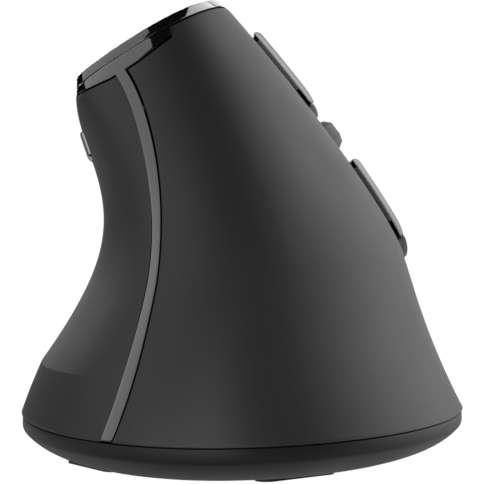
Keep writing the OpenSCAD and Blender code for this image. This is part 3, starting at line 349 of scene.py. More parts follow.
# solder mask over glass fibre board: green, with a faint weave below
boardGreen = moulded("solderMask", {"dark": "#1c5236", "light": "#226142", "rough": (0.3, 0.4),
                                    "grainMm": 0.5, "bump": 0.06})
print("finishes ready")

seam = {"gap": 0.2, "lap": 0.9, "tongueHigh": 1.6, "edge": 0.1}
trim = {"wide": (2.44, 1.64), "line": (-26.5, -18.0, -19.7, -45.2, 7.8, -8.9),
        "headHigh": 3.3, "armHigh": 1.5, "headEnd": 21.4, "headLean": 2.2, "taperV": 0.91, "taperA": -52.0,
        "foot": 0.005, "shellGap": 0.25, "palmGap": 0.3, "thumbGap": -0.1, "headGap": 0.42, "capGap": 0.05,
        "edge": 0.05, "proud": 0.04}
fingers = {"wheelDrop": 21.6, "land": 5.6, "indexWide": 16.4, "middleWide": 17.8, "y": (10.0, 47.0),
           "proud": 1.8, "skirt": 2.4, "gap": 0.45, "indexLip": 1.35, "middleLip": 1.75, "lipRun": 4.2,
           "lipGap": 0.06, "lipFlare": 0.5, "edge": 0.08, "foot": 0.8, "round": (1.2, 0.9),
           "fall": 0.35, "fallRun": 3.5, "inset": 0.3, "cutLean": 0.6, "cutLong": 2.5, "cutV": (0.21, 0.925),
           "hingeY": 15.0, "hingeDepth": 5.8, "hingeR": 1.0, "hingeLong": 12,
           "armHalf": (2.5, 2.0), "armTop": -1.2, "postY": 35, "postZ": -5.17, "postR": 1.2, "postHigh": 3}
wheel = {"radius": 11.5, "wide": 5.8, "proud": 3.0, "y": 26.0, "tyre": 2.5, "tread": (-1.75, 1.0),
         "flank": 1.6, "groove": 0.14, "edge": 0.12}
thumbKeys = {"v": (0.795, 0.89), "y": (-9.0, 8.0, 24.0), "proud": 0.55, "gap": 0.45}
cap = {"high": 1.6, "lean": 1.0, "crown": 0.3, "edge": 0.2, "rim": 1.6, "rimShare": (0.7, 0.78), "roof": 0.6,
       "keyLong": 10.0, "keyWide": 5.0, "keyY": 30.0, "keyProud": 0.4, "keyGap": 0.3}

levelPerBackMm = 0.05 / (skin(0, 1) - skin(0, 0.95)).length
headV = 1 - trim["armHigh"] * levelPerBackMm
headGapV = trim["headGap"] * levelPerBackMm
shellTop = 1 - trim["shellGap"] * levelPerBackMm


# The cross head is deepest at the strip, so the levels below the cap sink towards it.
def sink(v):
    low = trim["taperV"]
    share = min(1, max(0, (v - low) / (headV - headGapV - low))) if v < headV else (1 - v) / (1 - headV)
    return (trim["headHigh"] - trim["armHigh"]) * levelPerBackMm * share


def levelAt(a, v):
    middle = trim["line"][-1]
    end = trim["headEnd"] if a > middle else trim["taperA"]
    near = middle + math.copysign(5, end - middle)
    return v - sink(v) * min(1, max(0, (end - a) / (end - near)))


def headEnd(v):
    return trim["headEnd"] - trim["headLean"] * min(1, (1 - v) / (1 - headV))


def trimEdge(v, side, gap):
    low = v - sink(v)
    a = bezier(trim["line"], low)
    return a + side * (mix(*trim["wide"], low) / 2 + gap) / perDegree(a, low)


# finger face frame: x down the slope, y forward, z outward, from the wheel's middle plane
wheelZ = housing["capRightZ"] - fingers["wheelDrop"]
tilt = math.atan2(2, fingerFace(wheelZ - 1) - fingerFace(wheelZ + 1))
fingerAt = rails(levelOf(wheelZ))[1]
onFinger = Matrix.Translation(fingerAt) @ Matrix.Rotation(tilt, 4, "Y")


def slopeLevel(x):
    return levelOf(wheelZ - x * math.sin(tilt))


# each opening starts close below its key, where the shell's lip stands
lipShift = fingers["gap"] - fingers["lipGap"]
indexV = (slopeLevel(-fingers["land"] - lipShift), slopeLevel(-fingers["land"] - fingers["indexWide"]))
middleV = (slopeLevel(fingers["land"] + fingers["middleWide"] - lipShift), slopeLevel(fingers["land"]))
slotHalf = wheel["wide"] / 2 + 0.5
slotY = (wheel["y"] - wheel["radius"] + 1, wheel["y"] + wheel["radius"])


def slopeX(y, v):
    p = skin(angleAt(y, v, 1), v) - fingerAt
    return p.x * math.cos(tilt) - p.z * math.sin(tilt)


slotV = (slopeLevel(2 * slotHalf - slopeX(slotY[1], slopeLevel(slotHalf))), slopeLevel(-slotHalf))
lipV = fingers["lipRun"] * math.sin(tilt) / (housing["capRightZ"] - housing["seamZ"])


def swell(v, top, bottom):
    if v > top + 0.0001 or v < bottom:
        return 0
    return math.sqrt(1 - ((top - v) / (top - bottom)) ** 2)


def lip(a, v):
    if a < 0:
        return 0
    y = skin(a, v).y
    run = ease((y - fingers["y"][0] + fingers["gap"]) / 2.5) * (1 - ease((y - fingers["y"][1]) / 3))
    return run * (fingers["indexLip"] * swell(v, indexV[0], slotV[1])
                  + fingers["middleLip"] * swell(v, middleV[0], middleV[0] - lipV))


def shellRows(levels, stops):
    low, out, inn = housing["seamZ"] - seam["tongueHigh"], -seam["lap"] - 0.25, -housing["wall"] - 0.2
    shoulder = housing["seamZ"] + seam["gap"] / 2
    first = stops(0)
    rows = [(first, lambda a: rimPoint(a, out, low), lambda a: rimPoint(a, inn, low)),
            (first, lambda a: rimPoint(a, out, shoulder), lambda a: rimPoint(a, inn, shoulder - 0.4)),
            (first, lambda a: rimPoint(a, 0, shoulder), lambda a: rimPoint(a, inn - 0.1, shoulder))]
    for v in levels[1:]:
        rows.append((stops(v), lambda a, v=v: onSkin(a, levelAt(a, v), lip(a, v)),
                     lambda a, v=v: onSkin(a, levelAt(a, v), -housing["wall"])))
    return rows


# palm shell: columns from the trim to the front seam, with straight ones at both ends of each opening
palmLevels = spread([0, middleV[0] - lipV, middleV[0], middleV[1], slotV[0], slotV[1], indexV[0], indexV[1],
                     headV - headGapV, shellTop], [30, 8, 16, 2, 7, 6, 16, 3, 3])
windowY = spread([fingers["y"][0] - fingers["gap"], slotY[0], slotY[1], fingers["y"][1] + fingers["gap"]],
                 [9, 16, 9])
palmCols = (8, 28, len(windowY) - 1, 16)


def palmStops(v):
    start = trimEdge(v, 1, trim["palmGap"])
    end = headEnd(v) + trim["palmGap"] / perDegree(trim["headEnd"], v)
    window = [angleAt(y, v, 1) for y in windowY]
    front = 180 - seam["gap"] / 2 / perDegree(179, v)
    return (spread([start, end, window[0]], palmCols[:2]) + window[1:]
            + spread([window[-1], front], [palmCols[3]])[1:])


def rowLevel(levels, j):
    return 0 if j < 2 else (levels[j - 2] + levels[j - 1]) / 2


def palmKeep(j, i):
    v, k = rowLevel(palmLevels, j), i - palmCols[0] - palmCols[1]
    if v > headV - headGapV and i < palmCols[0]:
        return False
    if 0 <= k < palmCols[2]:
        y = (windowY[k] + windowY[k + 1]) / 2
        if indexV[0] < v < indexV[1] or middleV[0] < v < middleV[1]:
            return False
        if slotY[0] < y < slotY[1] and slotV[0] < v < slotV[1]:
            return False
    return True


palm = layGrid(shellRows(palmLevels, palmStops), palmKeep)
softenEdges(palm, seam["edge"], clamp=False)
settle(palm, "palm_cover", "chassis", softTouch, ["palm_shell"])

# thumb shell: columns from the front seam to the trim
thumbLevels = spread([0, housing["ledgeV"], *thumbKeys["v"], headV - headGapV, shellTop], [10, 44, 7, 6, 3])
backEnd, split, frontEnd = thumbKeys["y"]
sideY = spread([frontEnd + thumbKeys["gap"], split, backEnd - thumbKeys["gap"]], [14, 14])
thumbCols = (22, len(sideY) - 1, 26)


def thumbStops(v):
    front = -180 + seam["gap"] / 2 / perDegree(-179, v)
    window = [angleAt(y, v, -1) for y in sideY]
    return (spread([front, window[0]], [thumbCols[0]]) + window[1:]
            + spread([window[-1], trimEdge(v, -1, trim["thumbGap"])], [thumbCols[2]])[1:])


def thumbKeep(j, i):
    v = rowLevel(thumbLevels, j)
    if v > headV - headGapV and i >= thumbCols[0]:
        return False
    beside = thumbCols[0] <= i < thumbCols[0] + thumbCols[1]
    return not (beside and thumbKeys["v"][0] < v < thumbKeys["v"][1])


thumb = layGrid(shellRows(thumbLevels, thumbStops), thumbKeep)
softenEdges(thumb, seam["edge"], clamp=False)
# the ledge is a crisp crease, although the skin bends only a little there
ledge = {onSkin(a, levelAt(a, housing["ledgeV"])).to_tuple(3) for a in thumbStops(housing["ledgeV"])}
for line in thumb.edges:
    line.smooth = not all(p.co.to_tuple(3) in ledge for p in line.verts)
settle(thumb, "thumb_cover", "chassis", softTouch, ["thumb_shell"])

# spine trim: the strip up the back and the cross head below the cap, in one moulding
stripRows, headRows, trimCols = 110, 5, (60, 4, 26)
trimLevels = spread([trim["foot"], headV, 1 - trim["capGap"] * levelPerBackMm], [stripRows, headRows])


def trimStops(v):
    return spread([angleAt(thumbKeys["y"][2], v, -1), trimEdge(v, -1, 0), trimEdge(v, 1, 0), headEnd(v)],
                  trimCols)


spine = layGrid([(trimStops(v), lambda a, v=v: onSkin(a, levelAt(a, v), trim["proud"]),
                  lambda a, v=v: onSkin(a, levelAt(a, v), -housing["wall"])) for v in trimLevels],
                lambda j, i: j >= stripRows or trimCols[0] <= i < trimCols[0] + trimCols[1])
softenEdges(spine, trim["edge"])
settle(spine, "spine_strip", "chassis", glossBlack, ["spine_trim"])

# top cap: a crowned lid whose inner edge is the opening of the pointer speed key
capLeft, capRight = rails(1)[:2]
capAt = (capLeft + capRight) / 2 + Vector((0, (housing["backY"][3] + housing["frontY"][3]) / 2, 0))
capTilt = math.atan2(capRight.z - capLeft.z, capRight.x - capLeft.x)
onCap = Matrix.Translation((capAt.x, 0, capAt.z)) @ Matrix.Rotation(-capTilt, 4, "Y")
capSegments = 160
capAngles = [-180 + (i + 0.5) * 360 / capSegments for i in range(capSegments)]
outline = [onCap.inverted() @ skin(a, 1) for a in capAngles]
capMiddle = onCap.inverted() @ capAt


# The cap's side carries on from the skin below it, turned a little towards the cap's own upright.
def sideLean(a):
    rise = (skin(a, 1) - skin(a, 0.98)).normalized()
    lean = Vector((0, 0, 1)).lerp(onCap.inverted().to_3x3() @ rise, cap["lean"])
    return lean / lean.z


leans = [sideLean(a) for a in capAngles]
topEdge = [p + lean * cap["high"] for p, lean in zip(outline, leans)]
topMiddle = capMiddle + Vector((0, 0, cap["high"]))


def capRing(share, high):
    return [onCap @ (capMiddle.lerp(p, share) + Vector((0, 0, high))) for p in outline]


def capInset(d, high):
    ring = []
    for k, p in enumerate(outline):
        t = outline[(k + 1) % capSegments] - outline[k - 1]
        ring.append(onCap @ (p - Vector((t.y, -t.x, 0)).normalized() * d + leans[k] * high))
    return ring


def keyEdge(direction, grow):
    # where a line from the key's middle leaves its stadium outline
    r, half = cap["keyWide"] / 2 + grow, (cap["keyLong"] - cap["keyWide"]) / 2
    d = Vector((direction.x, direction.y)).normalized()
    if abs(d.x) * half >= abs(d.y) * r:
        reach = r / abs(d.x)
    else:
        c = half * abs(d.y)
        reach = c + math.sqrt(c * c - half * half + r * r)
    return Vector((d.x * reach, cap["keyY"] + d.y * reach, 0))


bearings = sorted((math.atan2(p.y - topMiddle.y, p.x - topMiddle.x), (p - topMiddle).length)
                  for p in topEdge)


def crownHigh(p):
    d = p - capMiddle
    phi, reach = math.atan2(d.y, d.x), bearings[-1][1]
    for (f0, r0), (f1, r1) in zip(bearings, bearings[1:]):
        if f0 <= phi <= f1:
            reach = mix(r0, r1, (phi - f0) / (f1 - f0))
            break
    share = Vector((d.x, d.y)).length / reach / 0.98
    return cap["high"] + cap["crown"] * (1 - min(1, share) ** 2)


def crownRing(t):
    ring = []
    for p in topEdge:
        rim = topMiddle.lerp(p, 0.96)
        hole = keyEdge(p - Vector((0, cap["keyY"], 0)), cap["keyGap"])
        flat = Vector((mix(rim.x, hole.x, t), mix(rim.y, hole.y, t), 0))
        ring.append(onCap @ (flat + Vector((0, 0, crownHigh(flat)))))
    return ring


edgeRings = [capInset(cap["edge"] * (1 - math.cos(math.radians(t))),
                      cap["high"] - cap["edge"] * (1 - math.sin(math.radians(t)))) for t in range(0, 91, 10)]
keyHole = [onCap @ (keyEdge(p - Vector((0, cap["keyY"], 0)), cap["keyGap"]) + Vector((0, 0, cap["roof"])))
           for p in outline]
rimIn, rimOut = cap["rimShare"]
lid = rollGrid([capRing(rimOut, 0.05), capInset(0.08, 0.05), capInset(0, 0.12)]
               + edgeRings + [crownRing(t / 16) for t in range(17)]
               + [keyHole, capRing(rimIn, cap["roof"]), capRing(rimIn, -cap["rim"])]
               + [capRing(rimOut, -cap["rim"])], closed=True)
bmesh.ops.recalc_face_normals(lid, faces=lid.faces)
softenEdges(lid, 0.1, 2, 50)
settle(lid, "cap_lid", "chassis", glossBlack, ["top_cap"])


# pointer speed key: a rounded bar with its flange and stem
def addStadium(bm, long, wide, low, high, place):
    made = bmesh.ops.create_circle(bm, cap_ends=True, segments=48, radius=wide / 2,
                                   matrix=Matrix.Rotation(math.radians(3.75), 4, "Z"))["verts"]
    for vert in made:
        vert.co.y += math.copysign((long - wide) / 2, vert.co.y)
        vert.co.z = low
    face = [f for f in bm.faces if set(f.verts) <= set(made)]
    grown = bmesh.ops.extrude_face_region(bm, geom=face + face[0].edges[:], use_keep_orig=True)["geom"]
    top = [g for g in grown if isinstance(g, bmesh.types.BMVert)]
    for vert in top:
        vert.co.z = high
    bmesh.ops.transform(bm, matrix=place, verts=made + top)


keyPlace = onCap @ Matrix.Translation((0, cap["keyY"], 0))
capTop = cap["high"] + cap["crown"]
key = bmesh.new()
flangeZ = cap["roof"] - 0.3 - 0.7
addStadium(key, cap["keyLong"], cap["keyWide"], flangeZ + 0.7, capTop + cap["keyProud"], keyPlace)
addStadium(key, cap["keyLong"] + 2, cap["keyWide"] + 2, flangeZ, flangeZ + 0.7, keyPlace)
addRod(key, keyPlace, (0, 0, flangeZ - 0.8), (0, 0, 1), 1.2, 0.8)
bmesh.ops.recalc_face_normals(key, faces=key.faces)
softenEdges(key, 0.35, 4, 50)
settle(key, "speed_key", "dpi_button", satinKey, ["dpi_button"])

# finger keys: a pad on the finger face with a sloping rear end, over a skirt that is cut back at its corners
levelPerMm = math.sin(tilt) / (housing["capRightZ"] - housing["seamZ"])


def fingerPoint(y, v, rise):
    return onSkin(angleAt(y, v, 1), v, rise)


def fingerKey(name, node, span, x):
    f = fingers
    v0 = span[0] + f["lipGap"] * levelPerMm
    v1 = span[1] - f["gap"] * levelPerMm
    y0, y1 = f["y"]
    ys = spread([y0, y1], [38])
    over = f["round"][0] * levelPerMm
    vs = spread([v0, v0 + f["fallRun"] * levelPerMm, v1 - over], [6, 12])
    vs += [v1 - over * (1 - math.sin(math.radians(10 * k))) for k in range(1, 9)]

    def place(y, v, rise):
        # the lower side leaves the lip towards the front, where a press moves it most
        flare = f["lipFlare"] * levelPerMm * (y - y0) / (y1 - y0)
        return fingerPoint(y, v + flare * (v1 - v) / (v1 - v0), rise)

    def top(v):
        up = min(1, max(0, 1 - (v1 - v) / over))
        down = max(0, 1 - (v - v0) / levelPerMm / f["fallRun"])
        drop = f["round"][1] * (1 - math.sqrt(1 - up * up)) + f["fall"] * down * down
        return f["proud"] - drop

    pad = layGrid([(ys, lambda y, v=v: place(y, v, top(v)), lambda y, v=v: place(y, v, f["foot"]))
                   for v in vs])
    softenEdges(pad, f["edge"], 3, 35, clamp=False)
    w0, w1 = v0 + f["inset"] * levelPerMm, v1 - f["inset"] * levelPerMm
    cut, end = y0 + f["cutLong"], y1 - f["inset"]
    sy = spread([y0 + 0.02, cut, end], [2, 20])
    sv = spread([w0, *(mix(w0, w1, share) for share in f["cutV"]), w1], [3, 10, 2])

    def undercut(y):
        if y < cut:
            return y + mix(f["cutLean"], f["cutLong"], (y - y0) / f["cutLong"])
        return y + f["cutLong"] * (end - y) / (end - cut)

    # the skirt's two rear corners are left out
    skirt = layGrid([(sy, lambda y, v=v: place(y, v, f["foot"] + 0.1),
                      lambda y, v=v: place(undercut(y), v, -f["skirt"])) for v in sv],
                    lambda j, i: i >= 2 or 3 <= j < 13)
    joinInto(pad, skirt)
    # hinge arm, hinge pin and the post that meets the switch
    ax, ay = f["armHalf"]
    addBlock(pad, onFinger, (x - ax, f["hingeY"] - ay, -f["hingeDepth"] - f["hingeR"] - 0.2),
             (x + ax, f["hingeY"] + ay, f["armTop"]))
    addRod(pad, onFinger, (x - f["hingeLong"] / 2, f["hingeY"], -f["hingeDepth"]), (1, 0, 0), f["hingeR"],
           f["hingeLong"])
    addRod(pad, onFinger, (x, f["postY"], f["postZ"]), (0, 0, 1), f["postR"], f["postHigh"])
    settle(pad, name, node, satinKey, [node], 25)


fingerKey("index_key", "index_button", indexV, -fingers["land"] - fingers["indexWide"] / 2)
fingerKey("middle_key", "middle_button", middleV, fingers["land"] + fingers["middleWide"] / 2)

# scroll wheel: a profile spun about the axle; its lower flank is rounder and starts at a fine crease
onWheel = (onFinger @ Matrix.Translation((0, wheel["y"], wheel["proud"] - wheel["radius"]))
           @ Matrix.Rotation(math.pi / 2, 4, "Y"))
r, half, (high, t), g = wheel["radius"], wheel["wide"] / 2, wheel["tread"], wheel["groove"]
upper = [(r - wheel["tyre"], -half), (r - half - high, -half), (r, high)]
lower = [(r, t - g), (r - g, t - g / 2), (r - 0.05, t), (r - 0.25 * wheel["flank"], mix(t, half, 0.6)),
         (r - wheel["flank"], half), (r - wheel["tyre"], half)]
profile = upper + lower
tyre = bmesh.new()
points = [tyre.verts.new((x, 0, z)) for x, z in profile]
for p, q in zip(points, points[1:] + points[:1]):
    tyre.edges.new((p, q))
bmesh.ops.bevel(tyre, geom=points, offset=wheel["edge"], offset_type="OFFSET", affect="VERTICES", segments=3,
                profile=0.5, material=-1, clamp_overlap=True)
bmesh.ops.spin(tyre, geom=tyre.verts[:] + tyre.edges[:], cent=(0, 0, 0), axis=(0, 0, 1), dvec=(0, 0, 0),
               angle=2 * math.pi, steps=128, use_merge=True, use_duplicate=False)
bmesh.ops.remove_doubles(tyre, verts=tyre.verts, dist=0.0005)
bmesh.ops.recalc_face_normals(tyre, faces=tyre.faces)
bmesh.ops.transform(tyre, matrix=onWheel, verts=tyre.verts)
settle(tyre, "wheel_tread", "wheel", wheelRubber, ["wheel_tyre"], 50)

# thumb keys: two pads in one opening, each with its stem
sideV = sum(thumbKeys["v"]) / 2
sideOut = outward(-90, sideV)
onThumb = (Matrix.Translation((skin(-90, sideV).x, 0, skin(-90, sideV).z))
           @ Matrix.Rotation(math.atan2(sideOut.x, sideOut.z), 4, "Y"))


def thumbKey(name, node, y0, y1):
    g = thumbKeys["gap"] / (housing["capLeftZ"] - housing["seamZ"])
    skirt = housing["wall"] + 0.6
    ys = spread([y1, y0], [22])
    pad = layGrid([(ys, lambda y, v=v: onSkin(angleAt(y, v, -1), v, thumbKeys["proud"]),
                    lambda y, v=v: onSkin(angleAt(y, v, -1), v, -skirt))
                   for v in spread([thumbKeys["v"][0] + g, thumbKeys["v"][1] - g], [10])])
    softenEdges(pad, 0.4, 4, 50)
    addRod(pad, onThumb, (0, (y0 + y1) / 2, -skirt - 3), (0, 0, 1), 1.3, 4)
    settle(pad, name, node, satinKey, [node])


thumbKey("forward_key", "forward_button", split + thumbKeys["gap"] / 2, frontEnd)
thumbKey("back_key", "back_button", backEnd, split - thumbKeys["gap"] / 2)

# base pan: a plain rim wall, a crease, an elliptic round and a flat underside with its openings
pan = {"foot": 0.6, "floor": 1.8, "crease": 4.7, "flat": 0.72, "step": 0.2, "round": 62, "wall": 2.4,
       "segments": 192, "reach": 0.085, "reachWide": 8.0, "reachFade": 4.0,
       "door": (-18.9, 4.9, -34.8, 11.3), "power": (-19.4, -14.6, 21.1, 29.4),
       "sensor": (-4.0, 29.0, 5.0, 3.6), "screws": ((13.5, 15.5), (13.5, 40.7), (-22.3, -8.0), (8.3, -8.0)),
       "screwHead": 2.4, "screwSeat": 1.7, "screwHole": 1.3, "pad": (15.8, 4.2, 0, 1.2),
       "edge": 0.12, "creaseEdge": 0.3, "floorShare": (0.88, 0.82),
       "feet": ((-52.1, 0.7467, 11.2), (23.2, 0.69, 4.8), (-138.1, 0.691, 0.6), (131.6, 0.6842, 3.5))}
panAngles = [-180 + (i + 0.5) * 360 / pan["segments"] for i in range(pan["segments"])]
floorZ = pan["foot"] + pan["floor"]


def panRing(share, z):
    return [Vector((skin(a, 0).x * share, skin(a, 0).y * share, z)) for a in panAngles]


# The flat underside reaches out round the foremost screw.
def underRing(share, z):
    x = pan["screws"][1][0]
    fade = max(0, 1 - (share - pan["flat"]) / (2 * pan["reach"]))
    ring = []
    for a in panAngles:
        p = skin(a, 0)
        near = ease((pan["reachWide"] - abs(p.x * pan["flat"] - x)) / pan["reachFade"]) if p.y > 0 else 0
        grown = share + pan["reach"] * near * fade
        ring.append(Vector((p.x * grown, p.y * grown, z)))
    return ring


def rimRing(d, z):
    return [rimPoint(a, d, z) for a in panAngles]


turns = [pan["round"] * k / 14 for k in range(15)]
wide, tall = math.sin(math.radians(pan["round"])), 1 - math.cos(math.radians(pan["round"]))
creaseShare = 1 + pan["step"] / housing["thumbX"][0]
panRings = [underRing(mix(pan["flat"], creaseShare, math.sin(math.radians(t)) / wide),
                      mix(pan["foot"], pan["crease"], (1 - math.cos(math.radians(t))) / tall))
            for t in turns]
rimZ, lapZ = housing["seamZ"] - seam["gap"] / 2, housing["seamZ"] - seam["tongueHigh"] - 0.2
outer, inner = pan["floorShare"]
panRings += [rimRing(-pan["step"], rimZ), rimRing(-seam["lap"], rimZ), rimRing(-seam["lap"], lapZ),
             rimRing(-pan["wall"], lapZ), panRing(outer, floorZ + 1), panRing(inner, floorZ)]
base = rollGrid(panRings)


def circleLoop(x, y, radius, z, n=40):
    turns = [2 * math.pi * k / n for k in range(n)]
    return [Vector((x + radius * math.cos(t), y + radius * math.sin(t), z)) for t in turns]


def boxLoop(x0, x1, y0, y1, z):
    return [Vector((x, y, z)) for x, y in ((x0, y0), (x1, y0), (x1, y1), (x0, y1))]


for hole in ("door", "power"):
    rollGrid([boxLoop(*pan[hole], pan["foot"]), boxLoop(*pan[hole], floorZ)], bm=base)
sx, sy, low, high = pan["sensor"]
rollGrid([circleLoop(sx, sy, low, pan["foot"]), circleLoop(sx, sy, high, floorZ)], bm=base)
for sx, sy in pan["screws"]:
    steps = [("screwHead", pan["foot"]), ("screwHead", pan["screwSeat"]), ("screwHole", pan["screwSeat"]),
             ("screwHole", floorZ)]
    rollGrid([circleLoop(sx, sy, pan[size], z) for size, z in steps], bm=base)
for level, down in ((pan["foot"], -1), (floorZ, 1)):
    loops = [e for e in base.edges if e.is_boundary and all(abs(p.co.z - level) < 0.001 for p in e.verts)]
    bmesh.ops.triangle_fill(base, use_beauty=True, use_dissolve=False, edges=loops, normal=(0, 0, down))
bmesh.ops.recalc_face_normals(base, faces=base.faces)
softenEdges(base, pan["edge"], 2, 60, lambda e: e.verts[0].co.z > pan["crease"] + 0.5)
softenEdges(base, pan["creaseEdge"], 3, 22,
            lambda e: all(abs(p.co.z - pan["crease"]) < 0.01 for p in e.verts))
for a, share, turn in pan["feet"]:
    at, t = skin(a, 0) * share, skin(a + 1, 0) - skin(a - 1, 0)
    spin = Matrix.Rotation(math.atan2(t.y, t.x) + math.radians(turn - 90), 4, "Z")
    addStadium(base, *pan["pad"], Matrix.Translation((at.x, at.y, pan["foot"])) @ spin)
settle(base, "base_tray", "chassis", sparkBlack, ["base_pan"], 30)

# CAD nodes that stay as they are get the finish of their real material
kept = {
    "battery_door": sparkBlack, "battery_bay": nylonGrey, "battery_cells": cellFilm,
    "battery_contacts": nickelPlate, "main_board": boardGreen, "switch_board": boardGreen,
    "side_board": boardGreen, "dpi_board": boardGreen, "sensor_chip": epoxyBlack,
    "sensor_lens": clearAcrylic, "power_housing": epoxyBlack, "power_slider": acetalDark,
    "inner_frame": nylonGrey, "micro_switches": epoxyBlack, "wheel_encoder": epoxyBlack,
    "click_switch": epoxyBlack, "side_switches": epoxyBlack, "dpi_switch": epoxyBlack,
    "wheel_carriage": acetalDark, "wheel_hub": acetalDark, "glide_feet": slickFoot,
    "case_screws": zincSteel, "board_screws": zincSteel,
}
for node, finish in kept.items():
    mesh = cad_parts[node].data
    mesh.materials.clear()
    mesh.materials.append(finish)
print("kept nodes dressed:", len(kept))

# studio: pale floor with a painted reflection for glossy rays, white backdrop, and softboxes given by
# bearing (0 from the camera, 90 from the right)
studio = {
    # the floor's sheen pair sets a painted reflection: a glow seen only in glossy rays, dim at the left and
    # bright at the right
    "world": 0.0, "floor": "#f2f2f2", "floorSeen": "#c2c2c2", "floorPaintedSheen": (0.03, 0.75), "paintedSheenHalf": 0.1,
    "glow": (0.92, 1.0), "glowReach": (0.1, 0.3), "glowLevel": 1.08, "backdropFrom": 0.96,
    "middle": (0, 0, 0.04), "edge": (0.879, 0.361, 0.311),
    "boxes": {
        "frontLow": {"turn": 0, "lift": 2, "away": 0.8, "size": (0.6, 0.36), "glow": 4.9},
        "frontHigh": {"turn": 0, "lift": 29, "away": 0.8, "size": (0.6, 0.4), "glow": 2.1},
        "frontLeft": {"turn": -40, "lift": 2, "away": 0.8, "size": (0.52, 0.36), "glow": 3.4},
        "leftBack": {"turn": -162, "lift": 19, "away": 0.8, "size": (0.43, 0.22), "glow": 4.9},
        "backdrop": {"turn": 170, "lift": 14, "away": 0.8, "size": (0.34, 0.7), "glow": 1.2},
        "rightBack": {"turn": 122, "lift": 24, "away": 0.8, "size": (0.88, 0.95), "glow": 1.9},
    },
    "card": {"turn": -80, "lift": 30, "away": 0.7, "along": (-0.6, 0.52), "low": -0.5, "glow": 0.92},
}
scene = bpy.context.scene
world = bpy.data.worlds.new("studio")
scene.world = world
world.use_nodes = True
tree = world.node_tree
tree.nodes.clear()
path = addNode(tree, "ShaderNodeLightPath")
heading = addNode(tree, "ShaderNodeTexCoord").outputs["Generated"]
ahead = addNode(tree, "ShaderNodeSeparateXYZ", None, {0: heading}).outputs["Y"]
behind = addNode(tree, "ShaderNodeMath", {"operation": "GREATER_THAN", 1: studio["backdropFrom"]},
                 {0: ahead}).outputs[0]
mirrored = addNode(tree, "ShaderNodeMath", {"operation": "MULTIPLY"},
                   {0: path.outputs["Is Glossy Ray"], 1: behind}).outputs[0]
straight = addNode(tree, "ShaderNodeMath", {"operation": "MAXIMUM"},
                   {0: path.outputs["Is Camera Ray"], 1: path.outputs["Is Transmission Ray"]}).outputs[0]
seen = addNode(tree, "ShaderNodeMath", {"operation": "MAXIMUM"}, {0: straight, 1: mirrored}).outputs[0]
strength = addNode(tree, "ShaderNodeMapRange", {"To Min": studio["world"], "To Max": 1.0},
                   {"Value": seen}).outputs["Result"]
back = addNode(tree, "ShaderNodeBackground", {"Color": (1, 1, 1, 1)}, {"Strength": strength})
addNode(tree, "ShaderNodeOutputWorld", None, {"Surface": back.outputs["Background"]})

floorMesh = bpy.data.meshes.new("floor")
bm = bmesh.new()
bmesh.ops.create_grid(bm, x_segments=4, y_segments=4, size=4)
bm.to_mesh(floorMesh)
bm.free()
floor = bpy.data.objects.new("floor", floorMesh)
scene.collection.objects.link(floor)
floorFinish, tree = newFinish("paleFloor")
path = addNode(tree, "ShaderNodeLightPath")
place = addNode(tree, "ShaderNodeTexCoord").outputs["Object"]
reach = addNode(tree, "ShaderNodeVectorMath", {"operation": "LENGTH"}, {0: place}).outputs["Value"]
(near, far), (low, high) = studio["glowReach"], studio["glow"]
span = {"From Min": near, "From Max": far, "To Min": low, "To Max": high}
fade = addNode(tree, "ShaderNodeMapRange", span, {"Value": reach}).outputs["Result"]
tone = addNode(tree, "ShaderNodeMix", {"data_type": "RGBA", 6: linear(studio["floorSeen"]),
               7: linear(studio["floor"])}, {0: path.outputs["Is Camera Ray"]}).outputs[2]
matt = addNode(tree, "ShaderNodeBsdfDiffuse", None, {"Color": tone})
glow = addNode(tree, "ShaderNodeEmission", {"Color": (1, 1, 1, 1), "Strength": studio["glowLevel"]})
# painted reflection: glossy rays see the floor glow, dim at its left and bright at its right, which lightens
# the base's lower right
across = addNode(tree, "ShaderNodeSeparateXYZ", None, {0: place}).outputs["X"]
(low, high), half = studio["floorPaintedSheen"], studio["paintedSheenHalf"]
span = {"From Min": -half, "From Max": half, "To Min": low, "To Max": high}
paintedSheen = addNode(tree, "ShaderNodeMapRange", span, {"Value": across}).outputs["Result"]
mirrored = addNode(tree, "ShaderNodeMath", {"operation": "MULTIPLY"},
                   {0: path.outputs["Is Glossy Ray"], 1: paintedSheen}).outputs[0]
straight = addNode(tree, "ShaderNodeMath", {"operation": "MAXIMUM"},
                   {0: path.outputs["Is Camera Ray"], 1: path.outputs["Is Transmission Ray"]}).outputs[0]
seen = addNode(tree, "ShaderNodeMath", {"operation": "MAXIMUM"}, {0: straight, 1: mirrored}).outputs[0]
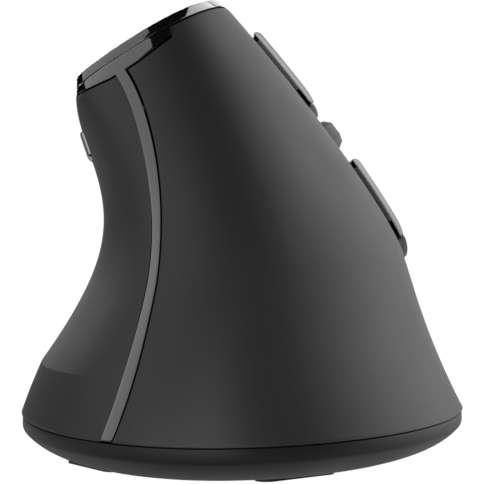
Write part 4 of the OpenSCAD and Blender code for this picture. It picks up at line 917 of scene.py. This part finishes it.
share = addNode(tree, "ShaderNodeMath", {"operation": "MULTIPLY"}, {0: seen, 1: fade}).outputs[0]
both = addNode(tree, "ShaderNodeMixShader", None,
               {0: share, 1: matt.outputs["BSDF"], 2: glow.outputs["Emission"]})
addNode(tree, "ShaderNodeOutputMaterial", None, {"Surface": both.outputs["Shader"]})
floorMesh.materials.append(floorFinish)


def bearing(turn, lift):
    t, e = math.radians(turn), math.radians(lift)
    return Vector((math.sin(t) * math.cos(e), -math.cos(t) * math.cos(e), math.sin(e)))


def hang(name, middle, back, up, size, glow):
    light = bpy.data.lights.new(name, "AREA")
    light.shape = "RECTANGLE"
    light.size, light.size_y = size
    light.energy = glow * math.pi * size[0] * size[1]
    box = bpy.data.objects.new(name, light)
    across = up.cross(back).normalized()
    axes = Matrix((across, back.cross(across), back)).transposed()
    box.matrix_world = Matrix.Translation(Vector(studio["middle"]) + middle) @ axes.to_4x4()
    box.visible_camera = False
    scene.collection.objects.link(box)


for name, box in studio["boxes"].items():
    back = bearing(box["turn"], box["lift"])
    hang(name, back * box["away"], back, Vector((0, 0, 1)), box["size"], box["glow"])

# The big card on the left ends on one straight edge, which the polished cap and cross head mirror.
card = studio["card"]
back, edge = bearing(card["turn"], card["lift"]), Vector(studio["edge"]).normalized()
up = (edge - back * edge.dot(back)).normalized()
along = back.cross(edge).normalized()
high = -card["away"] * edge.dot(back) / edge.dot(up)
middle = back * card["away"] + along * sum(card["along"]) / 2 + up * (high + card["low"]) / 2
hang("leftCard", middle, back, up, (card["along"][1] - card["along"][0], high - card["low"]), card["glow"])

lensCamera = bpy.data.cameras.new("camera")
lensCamera.sensor_width, lensCamera.lens = 36, 131.0
lensCamera.shift_y = -0.002
lensCamera.clip_start, lensCamera.clip_end = 0.01, 20
camera = bpy.data.objects.new("camera", lensCamera)
camera.location = (-0.00036, -0.3, 0.0354)
camera.rotation_euler = (math.pi / 2, 0, 0)
scene.collection.objects.link(camera)
scene.camera = camera
scene.view_settings.view_transform = "Standard"
print("studio set")
